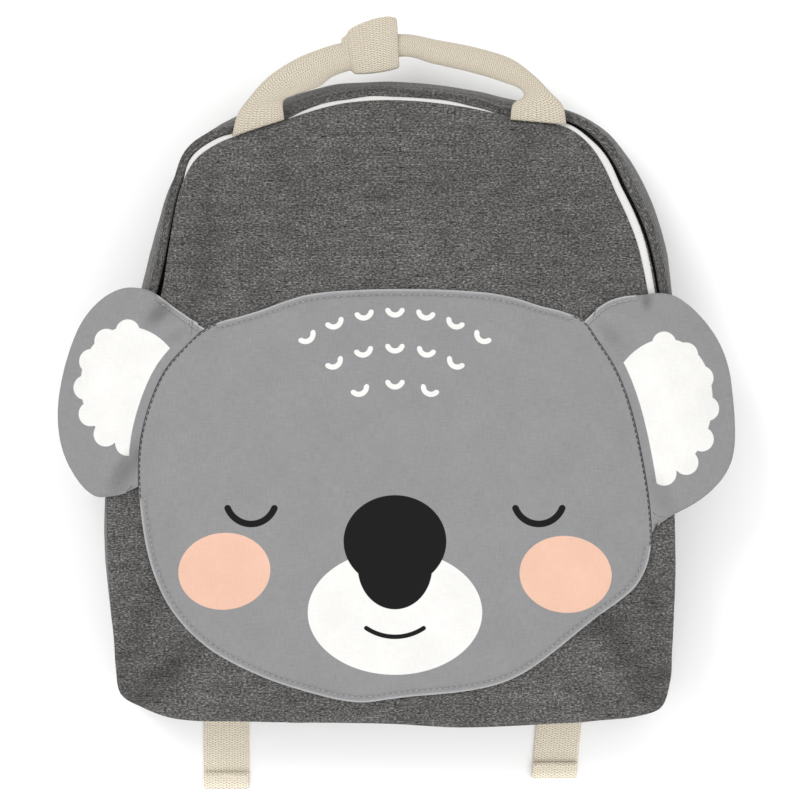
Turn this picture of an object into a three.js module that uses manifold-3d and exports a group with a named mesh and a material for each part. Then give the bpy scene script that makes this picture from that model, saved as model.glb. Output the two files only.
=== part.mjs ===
// A child's backpack with an animal head on its front, lying on its back.
// Millimetres. X runs to the right of the front, Y to the top of the bag, Z up from the floor.
import * as THREE from 'three';
import { mergeVertices } from 'three/addons/utils/BufferGeometryUtils.js';
import Module from 'manifold-3d';

// Body
const bagWidth = 264;
const bagHeight = 297;
const bagDepth = 64; // floor to the front seam
const panelCrown = 12; // front panel's middle above its seam
const crownPower = 2.6; // how late the crown falls off towards the seam
const cloth = 1.6; // canvas with its backing
const seamGap = 0.3; // between two sewn pieces
const footGap = 0.8; // between the gusset and the back, where both bend over the straps
const foldDepth = 3; // a fold of depth 1 in the table of folds

// Zip and gusset, as they show round the front panel
const tapeWidth = 4.2;
const tapeDrop = 3;
const coilWidth = 1.2;
const coilDrop = 3;
const gussetShow = 12;
const zipEndUp = 0.12; // share of half the bag's height
const sliderWidth = 7;
const pullWidth = 4.5;
const pullLength = 16;
const sliderWall = 2;

// Head and ears
const headWidth = 235.5;
const headHeight = 189.5;
const headShift = 1.8; // to the right of the bag's middle
const headDrop = 42.3; // below the bag's middle
const feltWall = 2; // head cloth with its turned backing
const layGap = 0.6; // under a piece that lies on the panel
const earReach = 37.7;
const earHeightLeft = 97.5;
const earHeightRight = 104;
const earDropRight = 3.7; // right ear's middle below the left one's
const earRise = 46.8; // left ear's middle above the head's middle
const earWall = 2.4; // at the seam and the edge
const earPuff = 5; // extra at the thickest place

// Handle
const handleSpan = 129; // between the middles of its sewn ends
const handleRise = 37; // above its sewn ends, seen from the front
const handleShift = 2.8; // to the right of the bag's middle
const handleUp = 129.7; // sewn ends above the bag's middle
const handleDroop = 7; // lower than the seam at its middle
const webbingWall = 1.8;
const wrapLength = 20; // across the handle
const wrapStart = -0.40; // shares of half the span
const wrapEnd = 0.01;

// Straps under the back
const strapTopOut = 36;
const strapSpread = 78; // lower end and tail from the bag's middle
const strapTopUp = 105;
const strapLength = 186;
const padWidth = 40;
const padThick = 6.4;
const hemWidth = 21;
const tailWidth = 21;
const tailWall = 1.6;
const tailEndLeft = 180.3; // below the bag's middle
const tailEndRight = 175.6;
const tailFold = 7;
const tailLean = 0.09; // right tail's slant past the base
const barGap = 0.3;
const adjusterWidth = 30;
const adjusterSide = 3.2;
const barWidth = 3;
const barPitch = 10.5;
const barHeight = 2.2;
const restMargin = 9; // back panel lies level this far beside a strap
const restFall = 16;

const halfWidth = bagWidth / 2;
const halfHeight = bagHeight / 2;
const crownTop = bagDepth + panelCrown;

const charcoal = { color: 0x5a5a59, roughness: 0.95, metalness: 0 };
const headGrey = { color: 0x98989a, roughness: 0.95, metalness: 0 };
const cream = { color: 0xdccfbe, roughness: 0.9, metalness: 0 };
const white = { color: 0xf2f0ec, roughness: 0.85, metalness: 0 };
const zipGrey = { color: 0x3c3c3c, roughness: 0.6, metalness: 0 };
const moulded = { color: 0x2b2b2b, roughness: 0.5, metalness: 0 };

// Seam line of the front panel, clockwise from the top, in shares of half the bag's width and height.
// tape and side: how much of the tape's and the gusset's width shows outside the seam. rise: share of the depth.
const panelEdge = table('across up tape side rise', [
  [0.000, 0.944, 0.45, 0.80, 0.76],
  [0.206, 0.929, 0.45, 0.78, 0.76],
  [0.418, 0.892, 0.35, 0.80, 0.77],
  [0.610, 0.858, 0.60, 0.80, 0.79],
  [0.707, 0.783, 0.90, 0.97, 0.82],
  [0.774, 0.663, 1.10, 1.18, 0.86],
  [0.847, 0.511, 1.00, 1.16, 0.91],
  [0.892, 0.325, 1.00, 1.15, 0.96],
  [0.945, 0.015, 0.90, 0.52, 1.00],
  [0.978, -0.294, 0.60, 0.12, 1.00],
  [0.980, -0.573, 0.60, 0.08, 1.00],
  [0.970, -0.789, 0.60, 0.08, 0.97],
  [0.956, -0.900, 0.60, 0.08, 0.93],
  [0.930, -0.945, 0.60, 0.08, 0.90],
  [0.870, -0.965, 0.60, 0.08, 0.88],
  [0.575, -0.990, 0.60, 0.08, 0.86],
  [0.230, -1.003, 0.60, 0.08, 0.86],
  [0.000, -0.992, 0.60, 0.08, 0.86],
  [-0.505, -0.985, 0.60, 0.08, 0.86],
  [-0.760, -0.976, 0.60, 0.08, 0.86],
  [-0.862, -0.944, 0.60, 0.08, 0.88],
  [-0.936, -0.912, 0.60, 0.08, 0.91],
  [-0.957, -0.866, 0.60, 0.08, 0.94],
  [-0.966, -0.759, 0.60, 0.08, 0.97],
  [-0.990, -0.480, 0.60, 0.14, 1.00],
  [-0.984, -0.232, 0.60, 0.28, 1.00],
  [-0.894, 0.077, 0.30, 0.66, 1.00],
  [-0.808, 0.325, 0.25, 0.92, 0.96],
  [-0.780, 0.480, 0.25, 0.80, 0.91],
  [-0.753, 0.622, 0.25, 0.64, 0.87],
  [-0.714, 0.724, 0.60, 0.42, 0.84],
  [-0.659, 0.783, 0.80, 0.52, 0.81],
  [-0.561, 0.827, 0.65, 0.76, 0.79],
  [-0.355, 0.889, 0.45, 0.90, 0.77],
  [-0.185, 0.932, 0.45, 0.80, 0.76],
]);

// Gusset from the zip down to the back: down is a share of its drop, out a share of the shown width
const gussetSection = table('down out', [
  [0.00, 0.00],
  [0.30, 0.78],
  [0.62, 1.00],
  [0.88, 0.92],
  [1.00, 0.66],
]);

// Soft folds pressed into the front panel, in shares of half the bag's width and height; turn in degrees
const panelFolds = table('across up turn long wide deep', [
  [-0.84, -0.86, 40, 0.26, 0.045, 0.60],
  [0.86, -0.80, 128, 0.22, 0.045, 0.45],
  [-0.66, 0.52, 84, 0.30, 0.050, 0.60],
  [-0.40, 0.78, -62, 0.16, 0.045, 0.40],
  [0.46, 0.80, 66, 0.16, 0.045, 0.40],
  [0.05, 0.72, 4, 0.40, 0.060, 0.30],
]);

// Head's turned edge, clockwise from the crown, in shares of half its width and height
const headEdge = table('across up', [
  [0.016, 1.000],
  [0.215, 0.995],
  [0.414, 0.971],
  [0.574, 0.913],
  [0.715, 0.859],
  [0.780, 0.752],
  [0.850, 0.617],
  [0.904, 0.447],
  [0.951, 0.204],
  [0.984, -0.060],
  [0.987, -0.250],
  [0.945, -0.410],
  [0.754, -0.607],
  [0.484, -0.864],
  [0.328, -0.932],
  [0.016, -0.976],
  [-0.152, -1.000],
  [-0.352, -0.947],
  [-0.551, -0.859],
  [-0.750, -0.718],
  [-0.890, -0.520],
  [-0.960, -0.310],
  [-1.000, 0.024],
  [-0.990, 0.300],
  [-0.909, 0.587],
  [-0.815, 0.728],
  [-0.727, 0.820],
  [-0.551, 0.888],
  [-0.352, 0.971],
  [-0.160, 0.995],
]);

// Free edges of the ears from the upper root to the lower one: out is a share of the reach, up of half the height
const earEdges = {
  left: table('out up', [
    [-0.720, 0.660],
    [-0.447, 0.798],
    [-0.262, 0.908],
    [-0.058, 1.002],
    [0.079, 1.016],
    [0.254, 0.995],
    [0.448, 0.915],
    [0.624, 0.795],
    [0.759, 0.629],
    [0.857, 0.434],
    [0.935, 0.238],
    [0.989, 0.012],
    [1.009, -0.183],
    [0.997, -0.379],
    [0.935, -0.559],
    [0.818, -0.741],
    [0.701, -0.876],
    [0.604, -0.951],
    [0.468, -0.992],
    [0.274, -0.945],
    [0.080, -0.913],
  ]),
  right: table('out up', [
    [-0.786, 0.773],
    [-0.583, 0.883],
    [-0.400, 0.930],
    [-0.098, 0.944],
    [0.044, 0.982],
    [0.166, 0.975],
    [0.287, 0.937],
    [0.470, 0.839],
    [0.671, 0.685],
    [0.833, 0.509],
    [0.935, 0.289],
    [0.975, 0.069],
    [1.006, -0.224],
    [0.996, -0.444],
    [0.935, -0.576],
    [0.772, -0.738],
    [0.571, -0.870],
    [0.328, -0.958],
    [0.166, -1.017],
    [0.040, -1.062],
  ]),
};

// Where an ear's seam starts and ends on the head's edge, in shares of half the head's width and height
const earRoots = {
  left: { top: { across: -0.727, up: 0.820 }, bottom: { across: -1.000, up: 0.024 } },
  right: { top: { across: 0.715, up: 0.859 }, bottom: { across: 0.987, up: -0.190 } },
};

// Handle's two edges from the left sewn end to the right one: across in shares of half the span, up of the rise.
// layers: thickness in webbing walls. droop: share of the handle's droop.
const handleRun = table('outAcross outUp inAcross inUp layers droop', [
  [-1.191, -0.173, -0.818, 0.037, 1.0, 0.00],
  [-1.150, 0.100, -0.824, 0.262, 1.0, 0.05],
  [-1.062, 0.319, -0.745, 0.338, 1.3, 0.15],
  [-0.930, 0.570, -0.655, 0.395, 1.8, 0.35],
  [-0.745, 0.785, -0.560, 0.460, 2.6, 0.60],
  [-0.555, 0.925, -0.470, 0.580, 3.2, 0.80],
  [-0.330, 1.030, -0.310, 0.675, 3.5, 0.92],
  [0.019, 1.111, 0.019, 0.830, 3.5, 1.00],
  [0.278, 1.035, 0.250, 0.740, 3.3, 0.92],
  [0.560, 0.936, 0.520, 0.630, 3.1, 0.75],
  [0.800, 0.800, 0.740, 0.511, 2.6, 0.50],
  [0.965, 0.590, 0.870, 0.416, 1.9, 0.30],
  [1.084, 0.376, 0.890, 0.320, 1.4, 0.15],
  [1.172, 0.205, 0.815, 0.225, 1.0, 0.05],
  [1.198, -0.026, 0.798, 0.037, 1.0, 0.00],
]);

// Padded strap from its sewn top to its hem: wide in shares of the pad's width, thick of its thickness
const padRun = table('down wide thick', [
  [0.00, 0.80, 0.45],
  [0.06, 0.90, 0.85],
  [0.16, 1.00, 1.00],
  [0.50, 1.00, 1.00],
  [0.78, 0.96, 1.00],
  [0.92, 0.74, 0.98],
  [0.97, 0.56, 0.95],
]);

// Rows of a table as objects with the named columns
function table(names, rows) {
  const columns = names.split(' ');
  return rows.map((row) => Object.fromEntries(columns.map((name, i) => [name, row[i]])));
}

function smooth(share) {
  const t = Math.min(Math.max(share, 0), 1);
  return t * t * (3 - 2 * t);
}

function mix(a, b, share) {
  return a + (b - a) * share;
}

// Stations of a line, each holding every column between two neighbours
function between(a, b, share) {
  return Object.fromEntries(Object.keys(a).map((name) => [name, mix(a[name], b[name], share)]));
}

// One centripetal Catmull-Rom span of a single column
function spanValue(values, steps, share) {
  const [v0, v1, v2, v3] = values;
  const [d0, d1, d2] = steps;
  const leave = d1 * ((v1 - v0) / d0 - (v2 - v0) / (d0 + d1) + (v2 - v1) / d1);
  const arrive = d1 * ((v2 - v1) / d1 - (v3 - v1) / (d1 + d2) + (v3 - v2) / d2);
  const t2 = share * share;
  const t3 = t2 * share;
  return v1 + leave * share + (3 * (v2 - v1) - 2 * leave - arrive) * t2 + (2 * (v1 - v2) + leave + arrive) * t3;
}

// Smooth line through rows that have x and y, as closely spaced stations with all their columns
function smoothLine(rows, closed) {
  const perRow = 12;
  const last = rows.length - 1;
  const rowAt = (i) => (closed ? rows[(i + rows.length) % rows.length] : rows[Math.min(Math.max(i, 0), last)]);
  const root = (a, b) => Math.sqrt(Math.hypot(b.x - a.x, b.y - a.y));
  const line = [];
  for (let i = 0; i < (closed ? rows.length : last); i++) {
    const four = [rowAt(i - 1), rowAt(i), rowAt(i + 1), rowAt(i + 2)];
    const middle = root(four[1], four[2]);
    const steps = [root(four[0], four[1]) || middle, middle, root(four[2], four[3]) || middle];
    for (let k = 0; k < perRow; k++) {
      const entries = Object.keys(rows[0]).map((name) => {
        const values = four.map((row) => row[name]);
        return [name, spanValue(values, steps, k / perRow)];
      });
      line.push(Object.fromEntries(entries));
    }
  }
  line.push(closed ? line[0] : rows[last]);
  return line;
}

// Distance along a line at each of its stations
function runs(line) {
  const sums = [0];
  for (let i = 1; i < line.length; i++) {
    sums.push(sums[i - 1] + Math.hypot(line[i].x - line[i - 1].x, line[i].y - line[i - 1].y));
  }
  return sums;
}

// Evenly spaced stations between two distances along a line; a closed line may be entered anywhere
function stretch(line, from, to, count) {
  const sums = runs(line);
  const whole = sums[sums.length - 1];
  const stations = [];
  for (let j = 0; j < count; j++) {
    const wanted = mix(from, to, j / (count - 1));
    const at = wanted >= 0 && wanted <= whole ? wanted : ((wanted % whole) + whole) % whole;
    let i = 1;
    while (i < sums.length - 1 && sums[i] < at) i++;
    stations.push(between(line[i - 1], line[i], (at - sums[i - 1]) / (sums[i] - sums[i - 1] || 1)));
  }
  return stations;
}

// Evenly spaced stations all round a closed line, the last one left out because it is the first
function around(line, count) {
  const sums = runs(line);
  return stretch(line, 0, sums[sums.length - 1], count + 1).slice(0, count);
}

// Adds the level direction that points outwards across a clockwise line
function withNormals(stations, closed) {
  const n = stations.length;
  return stations.map((station, i) => {
    const before = stations[closed ? (i + n - 1) % n : Math.max(i - 1, 0)];
    const after = stations[closed ? (i + 1) % n : Math.min(i + 1, n - 1)];
    const length = Math.hypot(after.x - before.x, after.y - before.y);
    return { ...station, nx: -(after.y - before.y) / length, ny: (after.x - before.x) / length };
  });
}

// Closed geometry from points and triangles, turned to face outwards
function solidFrom(points, triangles) {
  let volume = 0;
  for (const [a, b, c] of triangles) volume += points[a].dot(points[b].clone().cross(points[c]));
  const facing = volume > 0 ? triangles : triangles.map(([a, b, c]) => [a, c, b]);
  const geometry = new THREE.BufferGeometry();
  geometry.setAttribute('position', new THREE.Float32BufferAttribute(points.flatMap((p) => p.toArray()), 3));
  geometry.setIndex(facing.flat());
  geometry.computeVertexNormals();
  return geometry;
}

// Two triangles for each step along a strip between two rows of point numbers
function strip(rowA, rowB, closed) {
  const triangles = [];
  for (let i = 0; i < rowA.length - (closed ? 0 : 1); i++) {
    const j = (i + 1) % rowA.length;
    triangles.push([rowA[i], rowA[j], rowB[j]], [rowA[i], rowB[j], rowB[i]]);
  }
  return triangles;
}

// Cloth sheet inside a closed rim, on rings that shrink to the rim's middle
function sheetSolid(rim, middle, rings, topAt, underAt) {
  const points = [];
  const triangles = [];
  const layers = [topAt, underAt].map((heightAt) => {
    const start = points.length;
    points.push(new THREE.Vector3(middle.x, middle.y, heightAt(middle.x, middle.y)));
    const rows = rings.map((share) => rim.map((edge) => {
      const x = mix(middle.x, edge.x, share);
      const y = mix(middle.y, edge.y, share);
      points.push(new THREE.Vector3(x, y, heightAt(x, y)));
      return points.length - 1;
    }));
    return { start, rows };
  });
  layers.forEach(({ start, rows }, layer) => {
    const faces = rows[0].map((number, i) => [start, number, rows[0][(i + 1) % rim.length]]);
    for (let k = 1; k < rows.length; k++) faces.push(...strip(rows[k], rows[k - 1], true));
    triangles.push(...(layer === 0 ? faces : faces.map(([a, b, c]) => [a, c, b])));
  });
  const [top, under] = layers.map(({ rows }) => rows[rows.length - 1]);
  triangles.push(...strip(under, top, true));
  return solidFrom(points, triangles);
}

// Solid through sections that each run out along one face and back along the other
function loftSolid(sections) {
  const size = sections[0].length;
  const points = sections.flat();
  const rows = sections.map((section, k) => section.map((point, i) => k * size + i));
  const triangles = [];
  for (let k = 1; k < rows.length; k++) triangles.push(...strip(rows[k - 1], rows[k], true));
  for (const [row, flip] of [[rows[0], true], [rows[rows.length - 1], false]]) {
    const cap = strip(row.slice(0, size / 2), row.slice(size / 2).reverse(), false);
    triangles.push(...(flip ? cap.map(([a, b, c]) => [a, c, b]) : cap));
  }
  return solidFrom(points, triangles);
}

// Sleeve with open ends: each section has an outer and an inner loop of as many points
function sleeveSolid(sections) {
  const size = sections[0].outer.length;
  const points = sections.flatMap(({ outer, inner }) => [...outer, ...inner]);
  const loop = (k, inner) => Array.from({ length: size }, (unused, i) => (2 * k + inner) * size + i);
  const last = sections.length - 1;
  const triangles = [];
  for (let k = 1; k <= last; k++) {
    triangles.push(...strip(loop(k - 1, 0), loop(k, 0), true), ...strip(loop(k, 1), loop(k - 1, 1), true));
  }
  triangles.push(...strip(loop(0, 1), loop(0, 0), true), ...strip(loop(last, 0), loop(last, 1), true));
  return solidFrom(points, triangles);
}

const wasm = await Module();
wasm.setup();

// Joins or cuts closed geometries
function toManifold(geometry) {
  const bare = geometry.clone();
  bare.deleteAttribute('normal');
  bare.deleteAttribute('uv');
  const merged = mergeVertices(bare, 1e-4);
  return new wasm.Manifold(new wasm.Mesh({
    numProp: 3,
    vertProperties: new Float32Array(merged.attributes.position.array),
    triVerts: new Uint32Array(merged.index.array),
  }));
}

function fromManifold(solid) {
  const mesh = solid.getMesh();
  const geometry = new THREE.BufferGeometry();
  geometry.setAttribute('position', new THREE.Float32BufferAttribute(mesh.vertProperties, 3));
  geometry.setIndex([...mesh.triVerts]);
  geometry.computeVertexNormals();
  return geometry;
}

// Front panel's seam in millimetres
const panelLine = smoothLine(panelEdge.map(({ across, up, tape, side, rise }) => ({
  x: across * halfWidth,
  y: up * halfHeight,
  tape: tape * tapeWidth,
  side: side * gussetShow,
  rise: rise * bagDepth,
})), true);

const panelBearings = panelLine.slice(0, -1)
  .map(({ x, y, rise }) => ({ bearing: Math.atan2(y, x), reach: Math.hypot(x, y), rise }))
  .sort((a, b) => a.bearing - b.bearing);

// Seam's reach from the middle and its height, in one direction
function seamAt(bearing) {
  const list = panelBearings;
  let i = list.findIndex((entry) => entry.bearing > bearing);
  if (i < 0) i = 0;
  const before = list[(i + list.length - 1) % list.length];
  const after = list[i];
  const turn = 2 * Math.PI;
  const gap = (after.bearing - before.bearing + turn) % turn;
  const share = ((bearing - before.bearing + turn) % turn) / gap;
  return { reach: mix(before.reach, after.reach, share), rise: mix(before.rise, after.rise, share) };
}

// Depth of the soft folds at a place on the front
function foldsAt(x, y) {
  let depth = 0;
  for (const { across, up, turn, long, wide, deep } of panelFolds) {
    const dx = x / halfWidth - across;
    const dy = y / halfHeight - up;
    const angle = THREE.MathUtils.degToRad(turn);
    const along = (dx * Math.cos(angle) + dy * Math.sin(angle)) / long;
    const over = (dy * Math.cos(angle) - dx * Math.sin(angle)) / wide;
    depth += deep * foldDepth * Math.exp(-along * along - over * over);
  }
  return depth;
}

// Height of the front panel's outer face; past the seam it goes on along the same curve
function frontAt(x, y) {
  const { reach, rise } = seamAt(Math.atan2(y, x));
  const share = Math.hypot(x, y) / reach;
  const inside = 1 - smooth((share - 0.82) / 0.16);
  return crownTop - (crownTop - rise) * share ** crownPower - foldsAt(x, y) * inside;
}

// Middle line of a strap under the back, measured from the bag's middle
function strapOut(y) {
  return mix(strapTopOut, strapSpread, smooth((strapTopUp - y) / strapLength));
}

const hemUp = strapTopUp - strapLength; // top bar of the adjuster
const webbingTurn = hemUp - barPitch + barWidth / 2 - 0.4; // where the webbing turns back round the middle bar
const barLow = tailWall + barGap;
const barTop = barLow + barHeight;
const upperLow = barTop + barGap; // underside of the webbing's upper layer
const upperTop = upperLow + tailWall;
const seamLow = tailWall + barGap; // upper layer's underside where it is sewn into the base seam
const baseUp = -halfHeight;
const restHigh = Math.max(padThick, upperTop) + layGap;
const restLow = seamLow + tailWall + layGap;
const dropStart = hemUp - 2 * barPitch - 2 * barWidth;
const dropEnd = baseUp + 2 * barWidth;

// Underside of the back panel: on the floor, and lifted over the straps
function restAt(x, y) {
  const past = Math.abs(Math.abs(x) - strapOut(y));
  const half = (y > hemUp ? padWidth : adjusterWidth) / 2 + restMargin;
  const beside = 1 - smooth((past - half) / restFall);
  const above = 1 - smooth((y - strapTopUp - restMargin) / restFall);
  const height = mix(restLow, restHigh, smooth((y - dropEnd) / (dropStart - dropEnd)));
  return height * beside * above;
}

// Point of a section beside the seam: out along the level normal, at a height
function beside(station, out, z) {
  return new THREE.Vector3(station.x + station.nx * out, station.y + station.ny * out, z);
}

// Wall of a given level thickness whose outer face runs down a list of out and z values
function wallSection(station, profile, thickness, lift = 0) {
  const face = (shift) => profile.map(({ out, z }) => beside(station, out + shift, z));
  return [...face(lift), ...face(lift - thickness).reverse()];
}

const seamDrop = cloth + seamGap;

function tapeProfile({ tape, rise }) {
  const top = rise - seamDrop;
  return [{ out: 0, z: top }, { out: tape, z: top - tapeDrop }];
}

function coilProfile({ tape, rise }) {
  const top = rise - seamDrop - tapeDrop - seamGap;
  return [{ out: tape, z: top }, { out: tape + coilWidth, z: top - coilDrop }];
}

// Gusset below the zip, or right below the front panel where there is no zip
function gussetProfile(station, underZip) {
  const { x, y, tape, side, rise } = station;
  const startOut = underZip ? tape + coilWidth : 0;
  const zipDrop = tapeDrop + coilDrop + 2 * seamGap;
  const top = rise - seamDrop - (underZip ? zipDrop : 0);
  const bottomOut = mix(startOut, Math.max(side, startOut), gussetSection[gussetSection.length - 1].out);
  const foot = beside(station, bottomOut, 0);
  const bottom = restAt(foot.x, foot.y) + cloth + footGap;
  const widest = underZip ? Math.max(side, startOut) : side;
  return gussetSection.map(({ down, out }) => ({ out: mix(startOut, widest, out), z: mix(top, bottom, down) }));
}

const zipEndY = zipEndUp * halfHeight;
const panelRuns = runs(panelLine);
const wholeSeam = panelRuns[panelRuns.length - 1];
const zipRight = panelRuns[panelLine.findIndex(({ x, y }) => x > 0 && y < zipEndY)];
const lowLeft = panelLine.findIndex(({ x, y }, i) => x < 0 && y > zipEndY && panelRuns[i] > zipRight);
const zipLeft = panelRuns[lowLeft] - wholeSeam;

function bandSolid(from, to, count, profileOf, thickness, lift) {
  const stations = withNormals(stretch(panelLine, from, to, count), false);
  return loftSolid(stations.map((station) => wallSection(station, profileOf(station), thickness, lift)));
}

const rimCount = 80;
const panelRim = withNormals(around(panelLine, rimCount), true);

function frontPanel() {
  const rings = [0.22, 0.44, 0.64, 0.8, 0.92, 1];
  return sheetSolid(panelRim, { x: 0, y: 0 }, rings, frontAt, (x, y) => frontAt(x, y) - cloth);
}

function backPanel() {
  const rings = [0.16, 0.32, 0.46, 0.6, 0.74, 0.87, 1];
  const rim = panelRim.map((station) => {
    const profile = gussetProfile(station, station.y > zipEndY);
    return beside(station, profile[profile.length - 1].out, 0);
  });
  return sheetSolid(rim, { x: 0, y: 0 }, rings, (x, y) => restAt(x, y) + cloth, restAt);
}

function zipTape() {
  return bandSolid(zipLeft, zipRight, 44, tapeProfile, cloth);
}

function zipCoil() {
  return bandSolid(zipLeft, zipRight, 44, coilProfile, cloth);
}

function gussetTop() {
  return bandSolid(zipLeft, zipRight, 44, (station) => gussetProfile(station, true), cloth);
}

function gussetBase() {
  const gap = 2 * seamGap;
  return bandSolid(zipRight + gap, wholeSeam + zipLeft - gap, 48, (station) => gussetProfile(station, false), cloth);
}

// Slider over the coil with a narrower pull that hangs along the gusset
function zipSlider() {
  const at = zipLeft + 2 * sliderWidth;
  const bodyProfile = (station) => {
    const [top, low] = coilProfile(station);
    return [top, { out: low.out, z: low.z - seamGap }];
  };
  const pullProfile = (station) => {
    const start = bodyProfile(station)[0];
    const gusset = gussetProfile(station, true);
    const share = pullLength / (gusset[0].z - gusset[1].z);
    const end = { out: mix(gusset[0].out, gusset[1].out, share), z: mix(gusset[0].z, gusset[1].z, share) };
    return [start, gusset[0], end];
  };
  const body = bandSolid(at, at + sliderWidth, 3, bodyProfile, sliderWall, sliderWall + seamGap);
  const inset = (sliderWidth - pullWidth) / 2;
  const pull = bandSolid(at + inset, at + sliderWidth - inset, 3, pullProfile, sliderWall, sliderWall + seamGap);
  return fromManifold(toManifold(body).add(toManifold(pull)));
}

const headMiddle = { x: headShift, y: -headDrop };
const headLine = smoothLine(headEdge.map(({ across, up }) => ({
  x: headMiddle.x + across * headWidth / 2,
  y: headMiddle.y + up * headHeight / 2,
})), true);

function facePanel() {
  const rings = [0.24, 0.46, 0.66, 0.84, 1];
  const underAt = (x, y) => frontAt(x, y) + layGap;
  return sheetSolid(around(headLine, 64), headMiddle, rings, (x, y) => underAt(x, y) + feltWall, underAt);
}

// Ear between the head's edge and its own free edge, thickest in the middle
function ear(name, sign, height, middleUp) {
  const runsOfHead = runs(headLine);
  const nearest = ({ across, up }) => {
    const x = headMiddle.x + across * headWidth / 2;
    const y = headMiddle.y + up * headHeight / 2;
    const far = headLine.map((station) => Math.hypot(station.x - x, station.y - y));
    return runsOfHead[far.indexOf(Math.min(...far))];
  };
  const root = earRoots[name];
  const count = 19;
  const clockwise = [nearest(root.top), nearest(root.bottom)].sort((a, b) => a - b);
  const seam = withNormals(stretch(headLine, clockwise[0], clockwise[1], count), false)
    .map((station) => ({ x: station.x + station.nx * seamGap, y: station.y + station.ny * seamGap }));
  if (sign < 0) seam.reverse();
  const rootX = headMiddle.x + sign * headWidth / 2;
  const edgeRows = earEdges[name].map(({ out, up }) => ({
    x: rootX + sign * out * earReach,
    y: headMiddle.y + middleUp + up * height / 2,
  }));
  const line = smoothLine(edgeRows, false);
  const free = stretch(line, 0, runs(line)[runs(line).length - 1], count);
  const steps = [0, 0.3, 0.6, 0.85, 1];
  return loftSolid(seam.map((start, j) => {
    const across = Math.sin(Math.PI * j / (count - 1));
    const face = (top) => steps.map((share) => {
      const x = mix(start.x, free[j].x, share);
      const y = mix(start.y, free[j].y, share);
      const puff = earPuff * across * Math.sqrt(Math.sin(Math.PI * share));
      return new THREE.Vector3(x, y, frontAt(x, y) + layGap + top * (earWall + puff));
    });
    return [...face(1), ...face(0).reverse()];
  }));
}

// Handle's stations in millimetres with both edges and the middle
const handleLine = smoothLine(handleRun.map((row) => {
  const side = (across) => handleShift + across * handleSpan / 2;
  const height = (up) => handleUp + up * handleRise;
  return {
    x: side((row.outAcross + row.inAcross) / 2),
    y: height((row.outUp + row.inUp) / 2),
    outX: side(row.outAcross),
    outY: height(row.outUp),
    inX: side(row.inAcross),
    inY: height(row.inUp),
    thick: row.layers * webbingWall,
    droop: row.droop * handleDroop,
  };
}), false);

const handleSteps = [0, 0.1, 0.3, 0.5, 0.7, 0.9, 1];

// Closed loop round the handle at a station, standing off its surface by some distance
function handleLoop(station, standOff) {
  const ends = handleLine.filter((entry, i) => i === 0 || i === handleLine.length - 1);
  const seamZ = Math.max(...ends.map(({ x, y }) => seamAt(Math.atan2(y, x)).rise)) + webbingWall / 2 + 2 * layGap;
  const folded = smooth((station.thick / webbingWall - 1) / 1.5);
  const middle = { x: (station.outX + station.inX) / 2, y: (station.outY + station.inY) / 2 };
  const face = (top) => handleSteps.map((share) => {
    const bulge = Math.sqrt(1 - (2 * share - 1) ** 2 * 0.9);
    const flat = share === 0 || share === 1 ? 0.6 : 1;
    const half = station.thick / 2 * mix(flat, bulge, folded) + standOff;
    const halfX = (station.outX - middle.x) * (1 - 2 * share);
    const halfY = (station.outY - middle.y) * (1 - 2 * share);
    const length = Math.hypot(station.outX - middle.x, station.outY - middle.y);
    const grow = 1 + standOff / length;
    return new THREE.Vector3(middle.x + halfX * grow, middle.y + halfY * grow, seamZ - station.droop + top * half);
  });
  return [...face(1), ...face(-1).reverse()];
}

function carryHandle() {
  const whole = runs(handleLine)[handleLine.length - 1];
  return loftSolid(stretch(handleLine, 0, whole, 30).map((station) => handleLoop(station, 0)));
}

function handleWrap() {
  const handleRuns = runs(handleLine);
  const at = (share) => {
    const x = handleShift + share * handleSpan / 2;
    const i = handleLine.findIndex((station) => station.x > x);
    const [before, after] = [handleLine[i - 1], handleLine[i]];
    return mix(handleRuns[i - 1], handleRuns[i], (x - before.x) / (after.x - before.x));
  };
  const stations = stretch(handleLine, at(wrapStart), at(wrapEnd), 6);
  return sleeveSolid(stations.map((station) => {
    const across = Math.hypot(station.outX - station.inX, station.outY - station.inY);
    return { outer: handleLoop(station, (wrapLength - across) / 2), inner: handleLoop(station, seamGap) };
  }));
}

// Padded strap with a flat underside, and a tunnel in its hem for the adjuster's top bar
function shoulderStrap(sign) {
  const hemEnd = hemUp - barWidth / 2 - barGap - tailWall;
  const rows = [...padRun.map(({ down, wide, thick }) => ({
    y: strapTopUp - down * strapLength,
    wide: wide * padWidth,
    thick: thick * padThick,
  })), { y: hemUp + barWidth, wide: hemWidth, thick: padThick }, { y: hemEnd, wide: hemWidth, thick: padThick }];
  const steps = [-1, -0.82, -0.4, 0.4, 0.82, 1];
  const pad = loftSolid(rows.map(({ y, wide, thick }) => {
    const place = (step, z) => new THREE.Vector3(sign * strapOut(y) + step * wide / 2, y, z);
    const top = steps.map((step) => place(step, thick * (Math.abs(step) === 1 ? 0.45 : 1 - 0.14 * step * step)));
    const under = steps.map((step) => place(step, 0));
    return [...top, ...under.reverse()];
  }));
  const tunnel = new THREE.BoxGeometry(padWidth, barWidth + 2 * barGap, barHeight + 2 * barGap);
  tunnel.translate(sign * strapOut(hemUp), hemUp, (barLow + barTop) / 2);
  return fromManifold(toManifold(pad).subtract(toManifold(tunnel)));
}

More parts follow.
